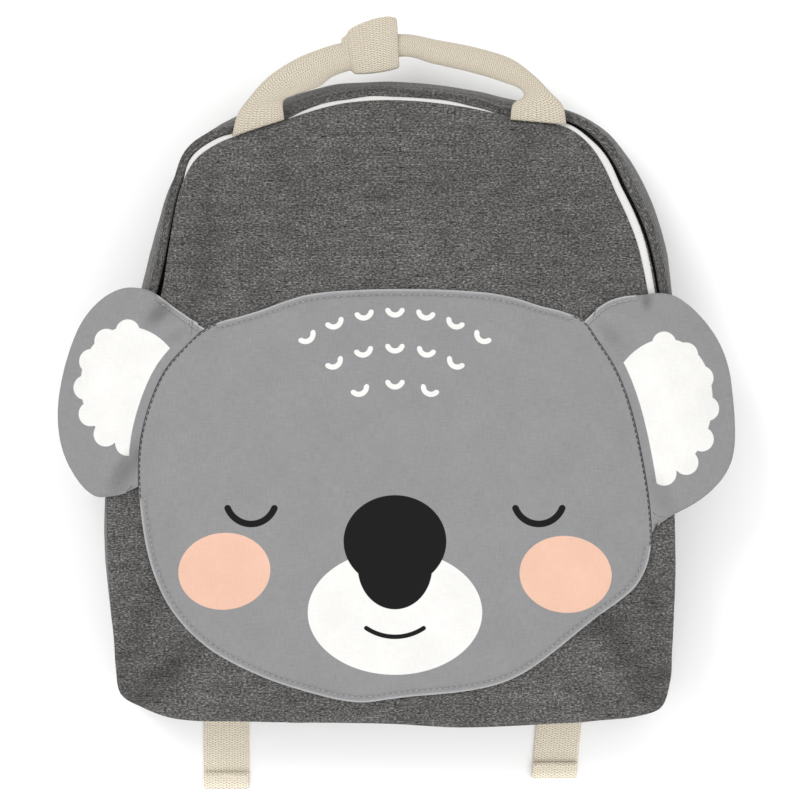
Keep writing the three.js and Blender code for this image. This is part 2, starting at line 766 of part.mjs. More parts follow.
// Flat frame with three bars across
function strapAdjuster(sign) {
  const x = sign * strapOut(hemUp);
  const half = adjusterWidth / 2;
  const outline = new THREE.Shape();
  const top = hemUp + barWidth / 2;
  const low = hemUp - 2 * barPitch - barWidth / 2;
  outline.moveTo(x - half, low).lineTo(x + half, low).lineTo(x + half, top).lineTo(x - half, top).closePath();
  for (let slot = 0; slot < 2; slot++) {
    const upper = hemUp - slot * barPitch - barWidth / 2;
    const lower = upper - barPitch + barWidth;
    const hole = new THREE.Path();
    const side = half - adjusterSide;
    hole.moveTo(x - side, lower).lineTo(x - side, upper).lineTo(x + side, upper).lineTo(x + side, lower).closePath();
    outline.holes.push(hole);
  }
  const frame = new THREE.ExtrudeGeometry(outline, { depth: barHeight, bevelEnabled: false });
  frame.translate(0, 0, barLow);
  return frame;
}

// Webbing from the base seam over two bars, round the middle one and back along the floor to the free end
function strapWebbing(sign) {
  const radius = upperTop / 2;
  const inner = radius - tailWall;
  const tailEnd = sign < 0 ? tailEndLeft : tailEndRight;
  const profile = new THREE.Shape();
  profile.moveTo(-tailEnd, 0).lineTo(webbingTurn, 0);
  profile.absarc(webbingTurn, radius, radius, -Math.PI / 2, Math.PI / 2, false);
  profile.lineTo(dropStart, upperTop).lineTo(dropEnd, seamLow + tailWall).lineTo(baseUp + barWidth, seamLow + tailWall);
  profile.lineTo(baseUp + barWidth, seamLow).lineTo(dropEnd, seamLow).lineTo(dropStart, upperLow);
  profile.lineTo(webbingTurn, upperLow);
  profile.absarc(webbingTurn, radius, inner, Math.PI / 2, -Math.PI / 2, true);
  profile.lineTo(-tailEnd + tailFold, tailWall).lineTo(-tailEnd + tailFold, 2 * tailWall);
  profile.lineTo(-tailEnd, 2 * tailWall).closePath();
  const strap = new THREE.ExtrudeGeometry(profile, { depth: tailWidth, bevelEnabled: false, curveSegments: 6 });
  const axes = [new THREE.Vector3(0, 1, 0), new THREE.Vector3(0, 0, 1), new THREE.Vector3(1, 0, 0)];
  strap.applyMatrix4(new THREE.Matrix4().makeBasis(...axes));
  strap.translate(sign * strapSpread - tailWidth / 2, 0, 0);
  const place = strap.attributes.position;
  const lean = sign > 0 ? tailLean : 0;
  for (let i = 0; i < place.count; i++) {
    place.setX(i, place.getX(i) + lean * Math.min(place.getY(i) - baseUp, 0));
  }
  return strap;
}

const bag = new THREE.Group();

function add(name, geometry, finish) {
  const mesh = new THREE.Mesh(geometry, new THREE.MeshStandardMaterial(finish));
  mesh.name = name;
  bag.add(mesh);
}

add('front_panel', frontPanel(), charcoal);
add('face_panel', facePanel(), headGrey);
add('ear_left', ear('left', -1, earHeightLeft, earRise), headGrey);
add('ear_right', ear('right', 1, earHeightRight, earRise - earDropRight), headGrey);
add('zip_tape', zipTape(), white);
add('zip_coil', zipCoil(), zipGrey);
add('zip_slider', zipSlider(), moulded);
add('gusset_top', gussetTop(), charcoal);
add('gusset_base', gussetBase(), charcoal);
add('back_panel', backPanel(), charcoal);
add('carry_handle', carryHandle(), cream);
add('handle_wrap', handleWrap(), cream);
for (const [side, sign] of [['left', -1], ['right', 1]]) {
  add(`shoulder_strap_${side}`, shoulderStrap(sign), charcoal);
  add(`strap_adjuster_${side}`, strapAdjuster(sign), moulded);
  add(`strap_webbing_${side}`, strapWebbing(sign), cream);
}

// The origin is on the floor below the middle of the whole bag
const whole = new THREE.Box3().setFromObject(bag);
const middle = whole.getCenter(new THREE.Vector3());
bag.position.set(-middle.x, -middle.y, -whole.min.z);

export default bag;
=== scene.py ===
import math

import bmesh
import bpy
import numpy as np
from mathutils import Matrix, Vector


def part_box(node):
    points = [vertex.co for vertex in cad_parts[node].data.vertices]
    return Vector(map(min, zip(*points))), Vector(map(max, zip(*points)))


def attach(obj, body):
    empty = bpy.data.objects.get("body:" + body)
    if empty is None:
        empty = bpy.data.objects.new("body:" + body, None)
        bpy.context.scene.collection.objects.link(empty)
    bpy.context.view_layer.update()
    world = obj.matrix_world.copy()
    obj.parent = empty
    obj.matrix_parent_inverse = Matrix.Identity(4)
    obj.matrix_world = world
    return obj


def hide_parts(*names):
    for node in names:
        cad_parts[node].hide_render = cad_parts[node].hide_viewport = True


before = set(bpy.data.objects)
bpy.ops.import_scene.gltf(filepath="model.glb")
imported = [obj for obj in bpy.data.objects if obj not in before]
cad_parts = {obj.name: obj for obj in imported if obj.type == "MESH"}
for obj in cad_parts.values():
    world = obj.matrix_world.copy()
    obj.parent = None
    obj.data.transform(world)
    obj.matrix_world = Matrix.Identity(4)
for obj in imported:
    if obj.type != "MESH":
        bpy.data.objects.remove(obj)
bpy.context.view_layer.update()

bl_info = {
    "name": "Animal backpack",
    "version": (1, 0, 0),
    "blender": (4, 5, 0),
    "location": "View3D > Sidebar > Backpack",
    "description": "Dresses a child's animal backpack in canvas, printed cloth, webbing and stitches",
    "category": "Object",
}

MM = 0.001

# Sizes shared by several pieces, in metres
CLOTH = 1.6 * MM
HEAD_LIFT = 0.6 * MM
HEAD_WALL = 2.0 * MM
CROWN_POWER = 2.6
STRAP_TOP_OUT = 36 * MM
STRAP_LOW_OUT = 78 * MM
PAD_WIDTH = 40 * MM
WEBBING_WALL = 1.8 * MM
ZIP_END = 18 * MM  # zip's ends above the bag's middle
JOINT_GAP = 0.3 * MM  # between the two gussets, where the zip ends


def table(names, rows):
    """Rows as dictionaries with the named columns."""
    return [dict(zip(names.split(), row)) for row in rows]


# Soft folds in the front panel, in shares of half its width and height; turn in degrees, deep in millimetres
PANEL_FOLDS = table("across up turn long wide deep", [
    (-0.84, -0.86, 40, 0.26, 0.050, 2.6),
    (-0.88, -0.66, 66, 0.20, 0.040, 1.5),
    (0.84, -0.78, 128, 0.22, 0.050, 2.8),
    (0.92, -0.62, 102, 0.24, 0.035, 1.6),
    (0.70, -0.90, 152, 0.16, 0.030, 1.4),
    (0.90, -0.88, 38, 0.11, 0.028, 2.0),
    (0.76, -0.66, 18, 0.14, 0.028, 1.6),
    (-0.80, -0.60, 100, 0.18, 0.030, 1.2),
    (-0.66, 0.52, 84, 0.30, 0.050, 1.8),
    (-0.40, 0.78, -62, 0.16, 0.045, 1.2),
    (-0.50, 0.70, -40, 0.14, 0.030, 0.6),
    (0.46, 0.80, 66, 0.16, 0.045, 1.2),
    (0.60, 0.70, 40, 0.16, 0.030, 0.7),
    (0.05, 0.72, 4, 0.40, 0.060, 0.9),
])

# What shows outside the front seam, by direction from the bag's middle in degrees, anticlockwise from the
# right. In millimetres: white tape, canvas strip beside it, dark gap, and the gusset's edge from the seam.
SEAM_SHOW = table("bearing tape strip gap edge", [
    (-90, 0.0, 0.0, 0.6, 1.0),
    (-40, 0.0, 0.0, 0.6, 1.0),
    (-20, 0.0, 0.0, 0.6, 1.3),
    (-8, 1.2, 0.6, 1.0, 4.2),
    (3, 2.4, 1.0, 2.0, 7.4),
    (24, 3.4, 0.9, 2.6, 12.7),
    (35, 3.8, 0.5, 2.9, 13.9),
    (45, 3.8, 0.0, 3.1, 14.2),
    (52, 2.9, 0.0, 3.1, 11.8),
    (58, 1.6, 0.0, 3.0, 9.9),
    (64, 0.9, 0.0, 2.2, 9.6),
    (70, 0.0, 0.0, 1.0, 9.6),
    (74, 1.3, 0.0, 0.9, 9.5),
    (80, 2.0, 0.0, 0.9, 9.4),
    (90, 2.0, 0.0, 0.9, 9.7),
    (100, 2.0, 0.0, 0.9, 9.8),
    (106, 1.4, 0.0, 0.9, 10.6),
    (110, 0.0, 0.0, 1.0, 10.9),
    (116, 0.0, 0.0, 1.0, 10.4),
    (121, 2.0, 0.0, 1.5, 9.0),
    (125, 2.5, 0.0, 1.7, 6.6),
    (128, 1.9, 0.0, 1.8, 5.6),
    (132, 0.0, 0.0, 1.9, 5.6),
    (137, 0.0, 0.0, 2.1, 8.0),
    (145, 0.0, 0.0, 2.6, 10.0),
    (154, 0.0, 0.0, 3.8, 11.3),
    (172, 0.0, 0.0, 3.0, 8.0),
    (193, 0.0, 0.0, 1.0, 3.4),
    (210, 0.0, 0.0, 0.6, 1.6),
    (225, 0.0, 0.0, 0.6, 1.0),
    (270, 0.0, 0.0, 0.6, 1.0),
])

# Creases in the ears, in shares of half an ear's box; turn in degrees, lengths in millimetres
EAR_CREASES = {
    "ear_left": table("across up turn long wide deep", [
        (0.38, 0.78, 50, 9.0, 3.4, 3.4),
        (0.56, 0.52, 30, 6.0, 2.6, 0.9),
        (-0.10, -0.76, 60, 11.0, 3.8, 3.0),
        (0.06, -0.58, 75, 7.0, 2.2, 1.0),
    ]),
    "ear_right": table("across up turn long wide deep", [
        (-0.15, 0.95, 90, 4.5, 1.8, 3.2),
        (-0.62, 0.64, 128, 7.0, 2.8, 1.3),
        (0.06, -0.68, 118, 12.0, 4.5, 1.2),
    ]),
}

EAR_LIP_LENGTH = 26 * MM  # stitched lip along an ear's upper edge, from its seam

# Gusset from the zip to the back: down is a share of its drop, out a share of its shown width
GUSSET_SECTION = table("down out", [
    (0.00, 0.16),
    (0.10, 0.36),
    (0.30, 0.78),
    (0.48, 0.96),
    (0.62, 1.00),
    (0.80, 0.97),
    (0.92, 0.84),
    (1.00, 0.60),
])

# Turned edge of the upper gusset beside the zip: out from its start and up from its top, in millimetres
GUSSET_LIP = table("out up", [
    (-0.2, -3.6),
    (0.0, -1.2),
    (0.35, -0.3),
    (1.0, 0.05),
    (1.9, -0.25),
    (2.6, -0.55),
])

# Lap of the base gusset behind the upper one: how far past the joint and how far behind, in millimetres
GUSSET_LAP = table("ahead behind", [
    (0.35, 0.35),
    (2.0, 0.6),
    (4.5, 1.1),
])

# Handle's two edges from the left sewn end to the right one: across in shares of half its span, up of its
# rise. layers: thickness in webbing walls. droop: share of the handle's droop.
HANDLE_RUN = table("out_across out_up in_across in_up layers droop", [
    (-1.191, -0.173, -0.818, 0.037, 1.0, 0.00),
    (-1.150, 0.100, -0.824, 0.262, 1.0, 0.05),
    (-1.062, 0.319, -0.745, 0.338, 1.3, 0.15),
    (-0.930, 0.570, -0.655, 0.395, 1.8, 0.35),
    (-0.745, 0.785, -0.560, 0.460, 2.6, 0.60),
    (-0.555, 0.925, -0.470, 0.580, 3.2, 0.80),
    (-0.330, 1.030, -0.310, 0.675, 3.5, 0.92),
    (0.019, 1.111, 0.019, 0.830, 3.5, 1.00),
    (0.278, 1.035, 0.250, 0.740, 3.3, 0.92),
    (0.560, 0.936, 0.520, 0.630, 3.1, 0.75),
    (0.800, 0.800, 0.740, 0.511, 2.6, 0.50),
    (0.965, 0.590, 0.870, 0.416, 1.9, 0.30),
    (1.084, 0.376, 0.890, 0.320, 1.4, 0.15),
    (1.172, 0.205, 0.815, 0.225, 1.0, 0.05),
    (1.198, -0.026, 0.798, 0.037, 1.0, 0.00),
])
HANDLE_HALF_SPAN = 64.5 * MM
HANDLE_RISE = 37 * MM
HANDLE_DROOP = 7 * MM

# Handle wrap's upper and lower edge from left to right, in shares of its box
WRAP_RUN = table("out_across out_up in_across in_up", [
    (0.03, 0.79, 0.12, 0.10),
    (0.26, 0.95, 0.34, 0.09),
    (0.52, 1.07, 0.58, 0.11),
    (0.80, 1.14, 0.80, 0.15),
    (0.95, 1.10, 0.99, 0.20),
])

# Plain printed shapes on the head, in shares of half its width and height; turn in degrees
PRINTED_OVALS = table("ink across up wide tall turn", [
    ("white", 0.00, -0.560, 0.340, 0.245, 0),
    ("black", 0.00, -0.215, 0.200, 0.180, 0),
    ("black", 0.00, -0.340, 0.145, 0.165, 0),
    ("peach", -0.665, -0.360, 0.180, 0.150, 6),
    ("peach", 0.665, -0.375, 0.180, 0.150, -6),
])

# Printed strokes: arcs of a radius that open by half_angle either side of turn. Sizes are in shares of half
# the head's width.
PRINTED_ARCS = table("ink across up radius thick half_angle turn", [
    ("black", 0.00, -0.430, 0.200, 0.018, 34, 180),
    ("black", -0.560, -0.010, 0.098, 0.026, 68, 180),
    ("black", 0.560, -0.010, 0.098, 0.026, 68, 180),
])
FUR_ROWS = table("reach count spread", [
    (0.640, 7, 33),
    (0.500, 5, 29),
    (0.360, 3, 23),
])
FUR_RADIUS = 0.030
FUR_THICK = 0.020
FUR_HALF_ANGLE = 66  # degrees
FUR_MIDDLE_UP = 0.12  # middle of the rows of fur marks, in shares of half the head's height

# Pad of a shoulder strap from its sewn top to its hem
PAD_RUN = table("down wide thick", [
    (0.00, 0.80, 0.45),
    (0.06, 0.90, 0.85),
    (0.16, 1.00, 1.00),
    (0.50, 1.00, 1.00),
    (0.78, 0.96, 1.00),
    (0.92, 0.74, 0.98),
    (0.97, 0.56, 0.95),
    (1.00, 0.525, 0.95),
])


class BackpackSizes(bpy.types.PropertyGroup):
    """Sizes that a user would change."""

    stitch_pitch: bpy.props.FloatProperty(
        name="Stitch pitch", description="Distance between two stitches",
        default=2.7 * MM, min=1 * MM, unit="LENGTH")
    stitch_length: bpy.props.FloatProperty(
        name="Stitch length", description="Length of one stitch",
        default=2.0 * MM, min=0.5 * MM, unit="LENGTH")
    thread_width: bpy.props.FloatProperty(
        name="Thread width", description="Width of the sewing thread",
        default=0.55 * MM, min=0.1 * MM, unit="LENGTH")
    lip_width: bpy.props.FloatProperty(
        name="Lip width", description="Turned edge of the head outside its topstitch",
        default=2.6 * MM, min=1 * MM, unit="LENGTH")
    pucker: bpy.props.FloatProperty(
        name="Pucker", description="Depth of the small puckers beside a seam",
        default=0.45 * MM, min=0, unit="LENGTH")
    ear_puff: bpy.props.FloatProperty(
        name="Ear puff", description="Padding of an ear at its thickest place",
        default=5.0 * MM, min=0, unit="LENGTH")


class BackpackColours(bpy.types.PropertyGroup):
    """Colours that a user would change."""

    canvas: bpy.props.FloatVectorProperty(
        name="Canvas", description="Middle colour of the heathered canvas",
        subtype="COLOR", size=3, default=(0.066, 0.064, 0.062), min=0, max=1)
    head: bpy.props.FloatVectorProperty(
        name="Head cloth", description="Colour of the head and the ears",
        subtype="COLOR", size=3, default=(0.222, 0.222, 0.226), min=0, max=1)
    webbing: bpy.props.FloatVectorProperty(
        name="Webbing", description="Colour of the cotton webbing",
        subtype="COLOR", size=3, default=(0.860, 0.770, 0.620), min=0, max=1)
    cheek: bpy.props.FloatVectorProperty(
        name="Cheeks", description="Colour of the printed cheeks",
        subtype="COLOR", size=3, default=(0.660, 0.420, 0.320), min=0, max=1)


def sizes():
    return bpy.context.scene.backpack_sizes


def colours():
    return bpy.context.scene.backpack_colours


# Curves and heights

def smooth(share):
    """Ease from 0 to 1, level at both ends."""
    t = np.clip(share, 0, 1)
    return t * t * (3 - 2 * t)


def runs_along(points):
    """Distance along a line from its start to each of its points."""
    steps = np.linalg.norm(np.diff(points, axis=0), axis=1)
    return np.concatenate([[0], np.cumsum(steps)])


def resample(points, count):
    """Points spaced evenly along a line."""
    runs = runs_along(points)
    wanted = np.linspace(0, runs[-1], count)
    return np.stack([np.interp(wanted, runs, column) for column in points.T], axis=1)


def spline(points, closed, steps=10):
    """Catmull-Rom line through points, with a number of steps between two of them."""
    points = np.asarray(points, dtype=float)
    if closed:
        four = [np.roll(points, 1 - k, axis=0) for k in range(4)]
    else:
        ends = np.vstack([2 * points[0] - points[1], points, 2 * points[-1] - points[-2]])
        four = [ends[k:len(ends) - 3 + k] for k in range(4)]
    p0, p1, p2, p3 = four
    rows = []
    for t in np.arange(steps) / steps:
        rows.append(0.5 * (2 * p1 + (p2 - p0) * t + (2 * p0 - 5 * p1 + 4 * p2 - p3) * t ** 2
                           + (3 * p1 - p0 - 3 * p2 + p3) * t ** 3))
    line = np.stack(rows, axis=1).reshape(-1, points.shape[1])
    return np.vstack([line, points[:1] if closed else points[-1:]])


def closed_line(points, count):
    return resample(spline(points, True), count + 1)[:-1]


def open_line(points, count):
    return resample(spline(points, False), count)


def sideways(line, closed):
    """Level direction to the right of the way along a line; outwards on an anticlockwise one."""
    if closed:
        along = np.roll(line, -1, axis=0) - np.roll(line, 1, axis=0)
    else:
        along = np.gradient(line, axis=0)
    side = np.stack([along[:, 1], -along[:, 0]], axis=1)
    return side / np.linalg.norm(side, axis=1)[:, None]


def lumps(x, y, size, seed):
    """Smooth random height from -1 to 1, with lumps of a given size."""
    grid = np.random.default_rng(seed).uniform(-1, 1, (64, 64))
    u, v = np.asarray(x) / size, np.asarray(y) / size
    i, j = np.floor(u).astype(int), np.floor(v).astype(int)
    a, b = smooth(u - i), smooth(v - j)
    corner = [[grid[(i + p) % 64, (j + q) % 64] for q in (0, 1)] for p in (0, 1)]
    low = corner[0][0] * (1 - a) + corner[1][0] * a
    high = corner[0][1] * (1 - a) + corner[1][1] * a
    return low * (1 - b) + high * b


def distance_to(line, x, y):
    """Distance from each place to the nearest of a line's closely spaced points."""
    flat = np.stack([np.ravel(x), np.ravel(y)], axis=1)
    gaps = np.linalg.norm(flat[:, None, :] - line[None, :, :2], axis=2)
    return gaps.min(axis=1).reshape(np.shape(x))


def face_rim(name, way=1):
    """Outline of a node's upper face (way 1) or lower one (way -1), anticlockwise from its highest Y."""
    mesh = bmesh.new()
    mesh.from_mesh(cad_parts[name].data)
    bmesh.ops.remove_doubles(mesh, verts=mesh.verts, dist=1e-6)
    mesh.normal_update()
    facing = {face.index for face in mesh.faces if way * face.normal.z > 0.3}
    links = {}
    for edge in mesh.edges:
        if len(edge.link_faces) == 2 and sum(face.index in facing for face in edge.link_faces) == 1:
            a, b = edge.verts
            links.setdefault(a.index, []).append(b.index)
            links.setdefault(b.index, []).append(a.index)
    mesh.verts.ensure_lookup_table()
    start = max(links, key=lambda index: mesh.verts[index].co.y)
    loop = [start]
    while True:
        onward = [index for index in links[loop[-1]] if index not in loop[-2:]]
        onward = [index for index in onward if index == start or index not in loop]
        if not onward or onward[0] == start:
            break
        loop.append(onward[0])
    points = np.array([mesh.verts[index].co[:] for index in loop])
    mesh.free()
    x, y = points[:, 0], points[:, 1]
    turning = np.sum(x * np.roll(y, -1) - np.roll(x, -1) * y)
    return points if turning > 0 else np.vstack([points[:1], points[:0:-1]])


PANEL_LOW, PANEL_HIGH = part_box("front_panel")
MIDDLE = np.array([(PANEL_LOW.x + PANEL_HIGH.x) / 2, (PANEL_LOW.y + PANEL_HIGH.y) / 2])
HALF = np.array([(PANEL_HIGH.x - PANEL_LOW.x) / 2, (PANEL_HIGH.y - PANEL_LOW.y) / 2])
SEAM = closed_line(face_rim("front_panel"), 720)
SEAM_BEARING = np.arctan2(SEAM[:, 1] - MIDDLE[1], SEAM[:, 0] - MIDDLE[0])
SEAM_REACH = np.hypot(SEAM[:, 0] - MIDDLE[0], SEAM[:, 1] - MIDDLE[1])


def seam_at(bearing):
    """Reach and height of the front seam in a direction."""
    order = np.argsort(SEAM_BEARING)
    bearings = SEAM_BEARING[order]
    reach = np.interp(bearing, bearings, SEAM_REACH[order], period=2 * math.pi)
    rise = np.interp(bearing, bearings, SEAM[order, 2], period=2 * math.pi)
    return reach, rise


def folds_at(x, y):
    """Depth of the soft folds in the front."""
    depth = np.zeros(np.shape(x))
    for fold in PANEL_FOLDS:
        dx = (x - MIDDLE[0]) / HALF[0] - fold["across"]
        dy = (y - MIDDLE[1]) / HALF[1] - fold["up"]
        turn = math.radians(fold["turn"])
        along = (dx * math.cos(turn) + dy * math.sin(turn)) / fold["long"]
        over = (dy * math.cos(turn) - dx * math.sin(turn)) / fold["wide"]
        depth += fold["deep"] * MM * np.exp(-along ** 2 - over ** 2)
    return depth


def front_height(x, y):
    """Height of the front panel; past its seam it goes on along the same curve."""
    x, y = np.asarray(x, dtype=float), np.asarray(y, dtype=float)
    reach, rise = seam_at(np.arctan2(y - MIDDLE[1], x - MIDDLE[0]))
    share = np.hypot(x - MIDDLE[0], y - MIDDLE[1]) / reach
    inside = 1 - smooth((share - 0.82) / 0.16)
    uneven = lumps(x, y, 34 * MM, 3) * 0.8 * MM + lumps(x, y, 15 * MM, 4) * 0.25 * MM
    top = PANEL_HIGH.z - 0.4 * MM
    return top - (top - rise) * share ** CROWN_POWER - (folds_at(x, y) + uneven) * inside


ADJUSTER_LOW, ADJUSTER_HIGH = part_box("strap_adjuster_left")
PAD_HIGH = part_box("shoulder_strap_left")[1]
ADJUSTERS = ("strap_adjuster_left", "strap_adjuster_right")
BAG_MIDDLE_X = sum(corner.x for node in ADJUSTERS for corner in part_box(node)) / 4


def strap_out(y):
    """How far a strap's middle line lies from the bag's middle."""
    length = PAD_HIGH.y - (ADJUSTER_HIGH.y - 1.5 * MM)
    return STRAP_TOP_OUT + (STRAP_LOW_OUT - STRAP_TOP_OUT) * smooth((PAD_HIGH.y - np.asarray(y)) / length)


def rest_height(x, y):
    """Underside of the back panel: on the floor, and lifted over the straps."""
    past = np.abs(np.abs(x - BAG_MIDDLE_X) - strap_out(y))
    half = np.where(y > ADJUSTER_HIGH.y, PAD_WIDTH, ADJUSTER_HIGH.x - ADJUSTER_LOW.x) / 2 + 8 * MM
    beside = 1 - smooth((past - half) / (17 * MM))
    above = 1 - smooth((y - PAD_HIGH.y - 9 * MM) / (16 * MM))
    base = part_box("back_panel")[0].y + 6 * MM
    fall = smooth((y - base) / (ADJUSTER_LOW.y - 4 * MM - base))
    return ((4.1 + 3.1 * fall) * beside * above + 0.05) * MM


# Meshes

def set_mark(mesh, label, values):
    """Gives each point of a mesh a value that the materials read."""
    if label not in mesh.attributes:
        mesh.attributes.new(label, "FLOAT", "POINT")
    mesh.attributes[label].data.foreach_set("value", np.asarray(values, dtype=float).ravel())


def places_of(mesh):
    """X and Y of each point of a mesh."""
    places = np.zeros(len(mesh.vertices) * 3)
    mesh.vertices.foreach_get("co", places)
    return places[0::3], places[1::3]


def mesh_object(name, points, faces, material, uv, marks=None):
    """Closed mesh with smooth faces that point outwards, with its cloth's map in metres.
    marks: values for each point that the materials read, by name."""
    mesh = bpy.data.meshes.new(name)
    mesh.from_pydata([tuple(point) for point in points], [], faces)
    for label, values in (marks or {}).items():
        set_mark(mesh, label, values)
    layer = mesh.uv_layers.new(name="cloth")
    corners = np.zeros(len(mesh.loops), dtype=int)
    mesh.loops.foreach_get("vertex_index", corners)
    layer.data.foreach_set("uv", np.asarray(uv, dtype=float)[corners].ravel())
    built = bmesh.new()
    built.from_mesh(mesh)
    bmesh.ops.recalc_face_normals(built, faces=built.faces)
    if built.calc_volume(signed=True) < 0:
        bmesh.ops.reverse_faces(built, faces=built.faces)
    built.to_mesh(mesh)
    built.free()
    mesh.polygons.foreach_set("use_smooth", [True] * len(mesh.polygons))
    piece = bpy.data.objects.new(name, mesh)
    bpy.context.scene.collection.objects.link(piece)
    mesh.materials.append(material)
    return piece


def dress(piece, slot, *nodes):
    """Ties a piece to the body and lets it stand for its nodes, which it hides."""
    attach(piece, "root")
    if nodes:
        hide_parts(*nodes)
    return piece


def strip(row_a, row_b, closed):
    """Faces between two rows of point numbers."""
    faces = []
    for i in range(len(row_a) - (0 if closed else 1)):
        j = (i + 1) % len(row_a)
        faces.append((row_a[i], row_a[j], row_b[j], row_b[i]))
    return faces


def rings_inside(rim, insets, inner_rings, middle):
    """Rows of places inside a rim, with their insets: first at insets from it, then shrinking to the middle.
    Rows deeper than straight bend to the middle, because rows along the normals would cross at a corner."""
    straight = 3 * MM
    outward = sideways(rim, True)
    for _ in range(4):
        outward = (np.roll(outward, 1, axis=0) + outward + np.roll(outward, -1, axis=0)) / 3
    outward /= np.linalg.norm(outward, axis=1)[:, None]
    from_middle = (rim - middle) / np.linalg.norm(rim - middle, axis=1)[:, None]
    rows = [rim - outward * min(inset, straight) - from_middle * max(inset - straight, 0)
            for inset in insets]
    last = rows[-1]
    for k in range(1, inner_rings + 1):
        rows.append(middle + (last - middle) * (1 - k / (inner_rings + 1)))
    closed = resample(np.vstack([rim, rim[:1]]), 1200)
    depths = [np.full(len(rim), inset) if inset <= straight else distance_to(closed, row[:, 0], row[:, 1])
              for inset, row in zip(list(insets) + [1.0] * inner_rings, rows)]
    return rows, depths


def sheet_object(name, rim, insets, inner_rings, middle, top_at, wall_at, material):
    """Closed cloth sheet inside a rim. top_at and wall_at take x, y and the inset from the rim."""
    rows, depths = rings_inside(rim, insets, inner_rings, middle)
    count = len(rim)
    rows.append(middle[None, :])
    depths.append(np.array([depths[-1].mean()]))
    points, uv, inset = [], [], []
    for layer in (0, 1):
        for row, depth in zip(rows, depths):
            z = top_at(row[:, 0], row[:, 1], depth) - layer * wall_at(depth)
            points.append(np.column_stack([row, z]))
            uv.append(row)
            inset.append(depth)
    rows.pop()
    layer_size = len(rows) * count + 1
    faces = []
    for layer in (0, 1):
        start = layer * layer_size
        numbers = [[start + k * count + i for i in range(count)] for k in range(len(rows))]
        centre = start + layer_size - 1
        for k in range(1, len(rows)):
            faces += strip(numbers[k - 1], numbers[k], True)
        faces += [(numbers[-1][i], numbers[-1][(i + 1) % count], centre) for i in range(count)]
    faces += strip(list(range(count)), list(range(layer_size, layer_size + count)), True)
    marks = {"inset": np.concatenate(inset)}
    return mesh_object(name, np.vstack(points), faces, material, np.vstack(uv), marks)


def map_of(across, along, sections):
    """Map of a lofted piece in metres, from the places across its sections and along them."""
    shape = sections.shape[:2]
    return np.stack([np.broadcast_to(across, shape), np.broadcast_to(along[:, None], shape)], axis=2)


def loft_object(name, sections, material, uv, marks=None):
    """Solid through sections that run out along one face and back along the other, with closed ends."""
    stations, size = sections.shape[:2]
    rows = [[k * size + i for i in range(size)] for k in range(stations)]
    faces = []
    for k in range(1, stations):
        faces += strip(rows[k - 1], rows[k], True)
    for row in (rows[0], rows[-1]):
        faces += strip(row[:size // 2], row[size // 2:][::-1], False)
    return mesh_object(name, sections.reshape(-1, 3), faces, material, uv.reshape(-1, 2), marks)


def ring_object(name, sections, material, uv):
    """Solid through sections that close on the first one."""
    stations, size = sections.shape[:2]
    rows = [[k * size + i for i in range(size)] for k in range(stations)]
    faces = []
    for k in range(stations):
        faces += strip(rows[k], rows[(k + 1) % stations], True)
    return mesh_object(name, sections.reshape(-1, 3), faces, material, uv.reshape(-1, 2))


# Materials

def put(tree, kind, inputs=None, **settings):
    """Adds a node, sets its properties, and sets or links its inputs."""
    node = tree.nodes.new(kind)
    for key, value in settings.items():
        setattr(node, key, value)
    for key, value in (inputs or {}).items():
        if isinstance(value, bpy.types.NodeSocket):
            tree.links.new(value, node.inputs[key])
        else:
            node.inputs[key].default_value = value
    return node


def math_of(tree, operation, first, second=0.0, third=0.0):
    """Output of a math node."""
    return put(tree, "ShaderNodeMath", {0: first, 1: second, 2: third}, operation=operation).outputs[0]


def new_material(name, roughness, sheen=0.0):
    """A material with its node tree and shader."""
    material = bpy.data.materials.new(name)
    material.use_nodes = True
    tree = material.node_tree
    shader = tree.nodes["Principled BSDF"]
    shader.inputs["Roughness"].default_value = roughness
    shader.inputs["Specular IOR Level"].default_value = 0.25
    shader.inputs["Sheen Weight"].default_value = sheen
    shader.inputs["Sheen Roughness"].default_value = 0.5
    return material, tree, shader


def cloth_map(tree, across, along):
    """Cloth coordinates in threads, from the piece's own map in metres."""
    uv = put(tree, "ShaderNodeUVMap", uv_map="cloth").outputs["UV"]
    inputs = {"Vector": uv, "Scale": (1 / across, 1 / along, 1)}
    return put(tree, "ShaderNodeMapping", inputs).outputs["Vector"]


def noise_of(tree, vector, detail=2.0, rough=0.6):
    """Noise over cloth coordinates."""
    inputs = {"Vector": vector, "Scale": 1.0, "Detail": detail, "Roughness": rough}
    return put(tree, "ShaderNodeTexNoise", inputs, noise_dimensions="3D").outputs["Fac"]


def grain_of(tree, size, detail):
    """Fine noise over a hard piece's own space, with grains of a given size."""
    place = put(tree, "ShaderNodeTexCoord").outputs["Object"]
    inputs = {"Vector": place, "Scale": 1 / size, "Detail": detail}
    return put(tree, "ShaderNodeTexNoise", inputs).outputs["Fac"]


def ramp_of(tree, factor, stops):
    """Colours by a factor; stops are positions with linear colours."""
    node = put(tree, "ShaderNodeValToRGB", {"Fac": factor})
    ramp = node.color_ramp
    while len(ramp.elements) < len(stops):
        ramp.elements.new(0.5)
    for element, (position, colour) in zip(ramp.elements, stops):
        element.position = position
        element.color = (*colour, 1)
    return node.outputs["Color"]


def blend_of(tree, factor, first, second, mode="MIX"):
    """Two colours blended by a factor."""
    node = put(tree, "ShaderNodeMix", data_type="RGBA", blend_type=mode)
    sockets = [s for s in node.inputs if s.enabled]
    for socket, value in zip(sockets, (factor, first, second)):
        if isinstance(value, bpy.types.NodeSocket):
            tree.links.new(value, socket)
        elif socket.type == "RGBA":
            socket.default_value = (*value, 1)
        else:
            socket.default_value = value
    return [s for s in node.outputs if s.enabled][0]


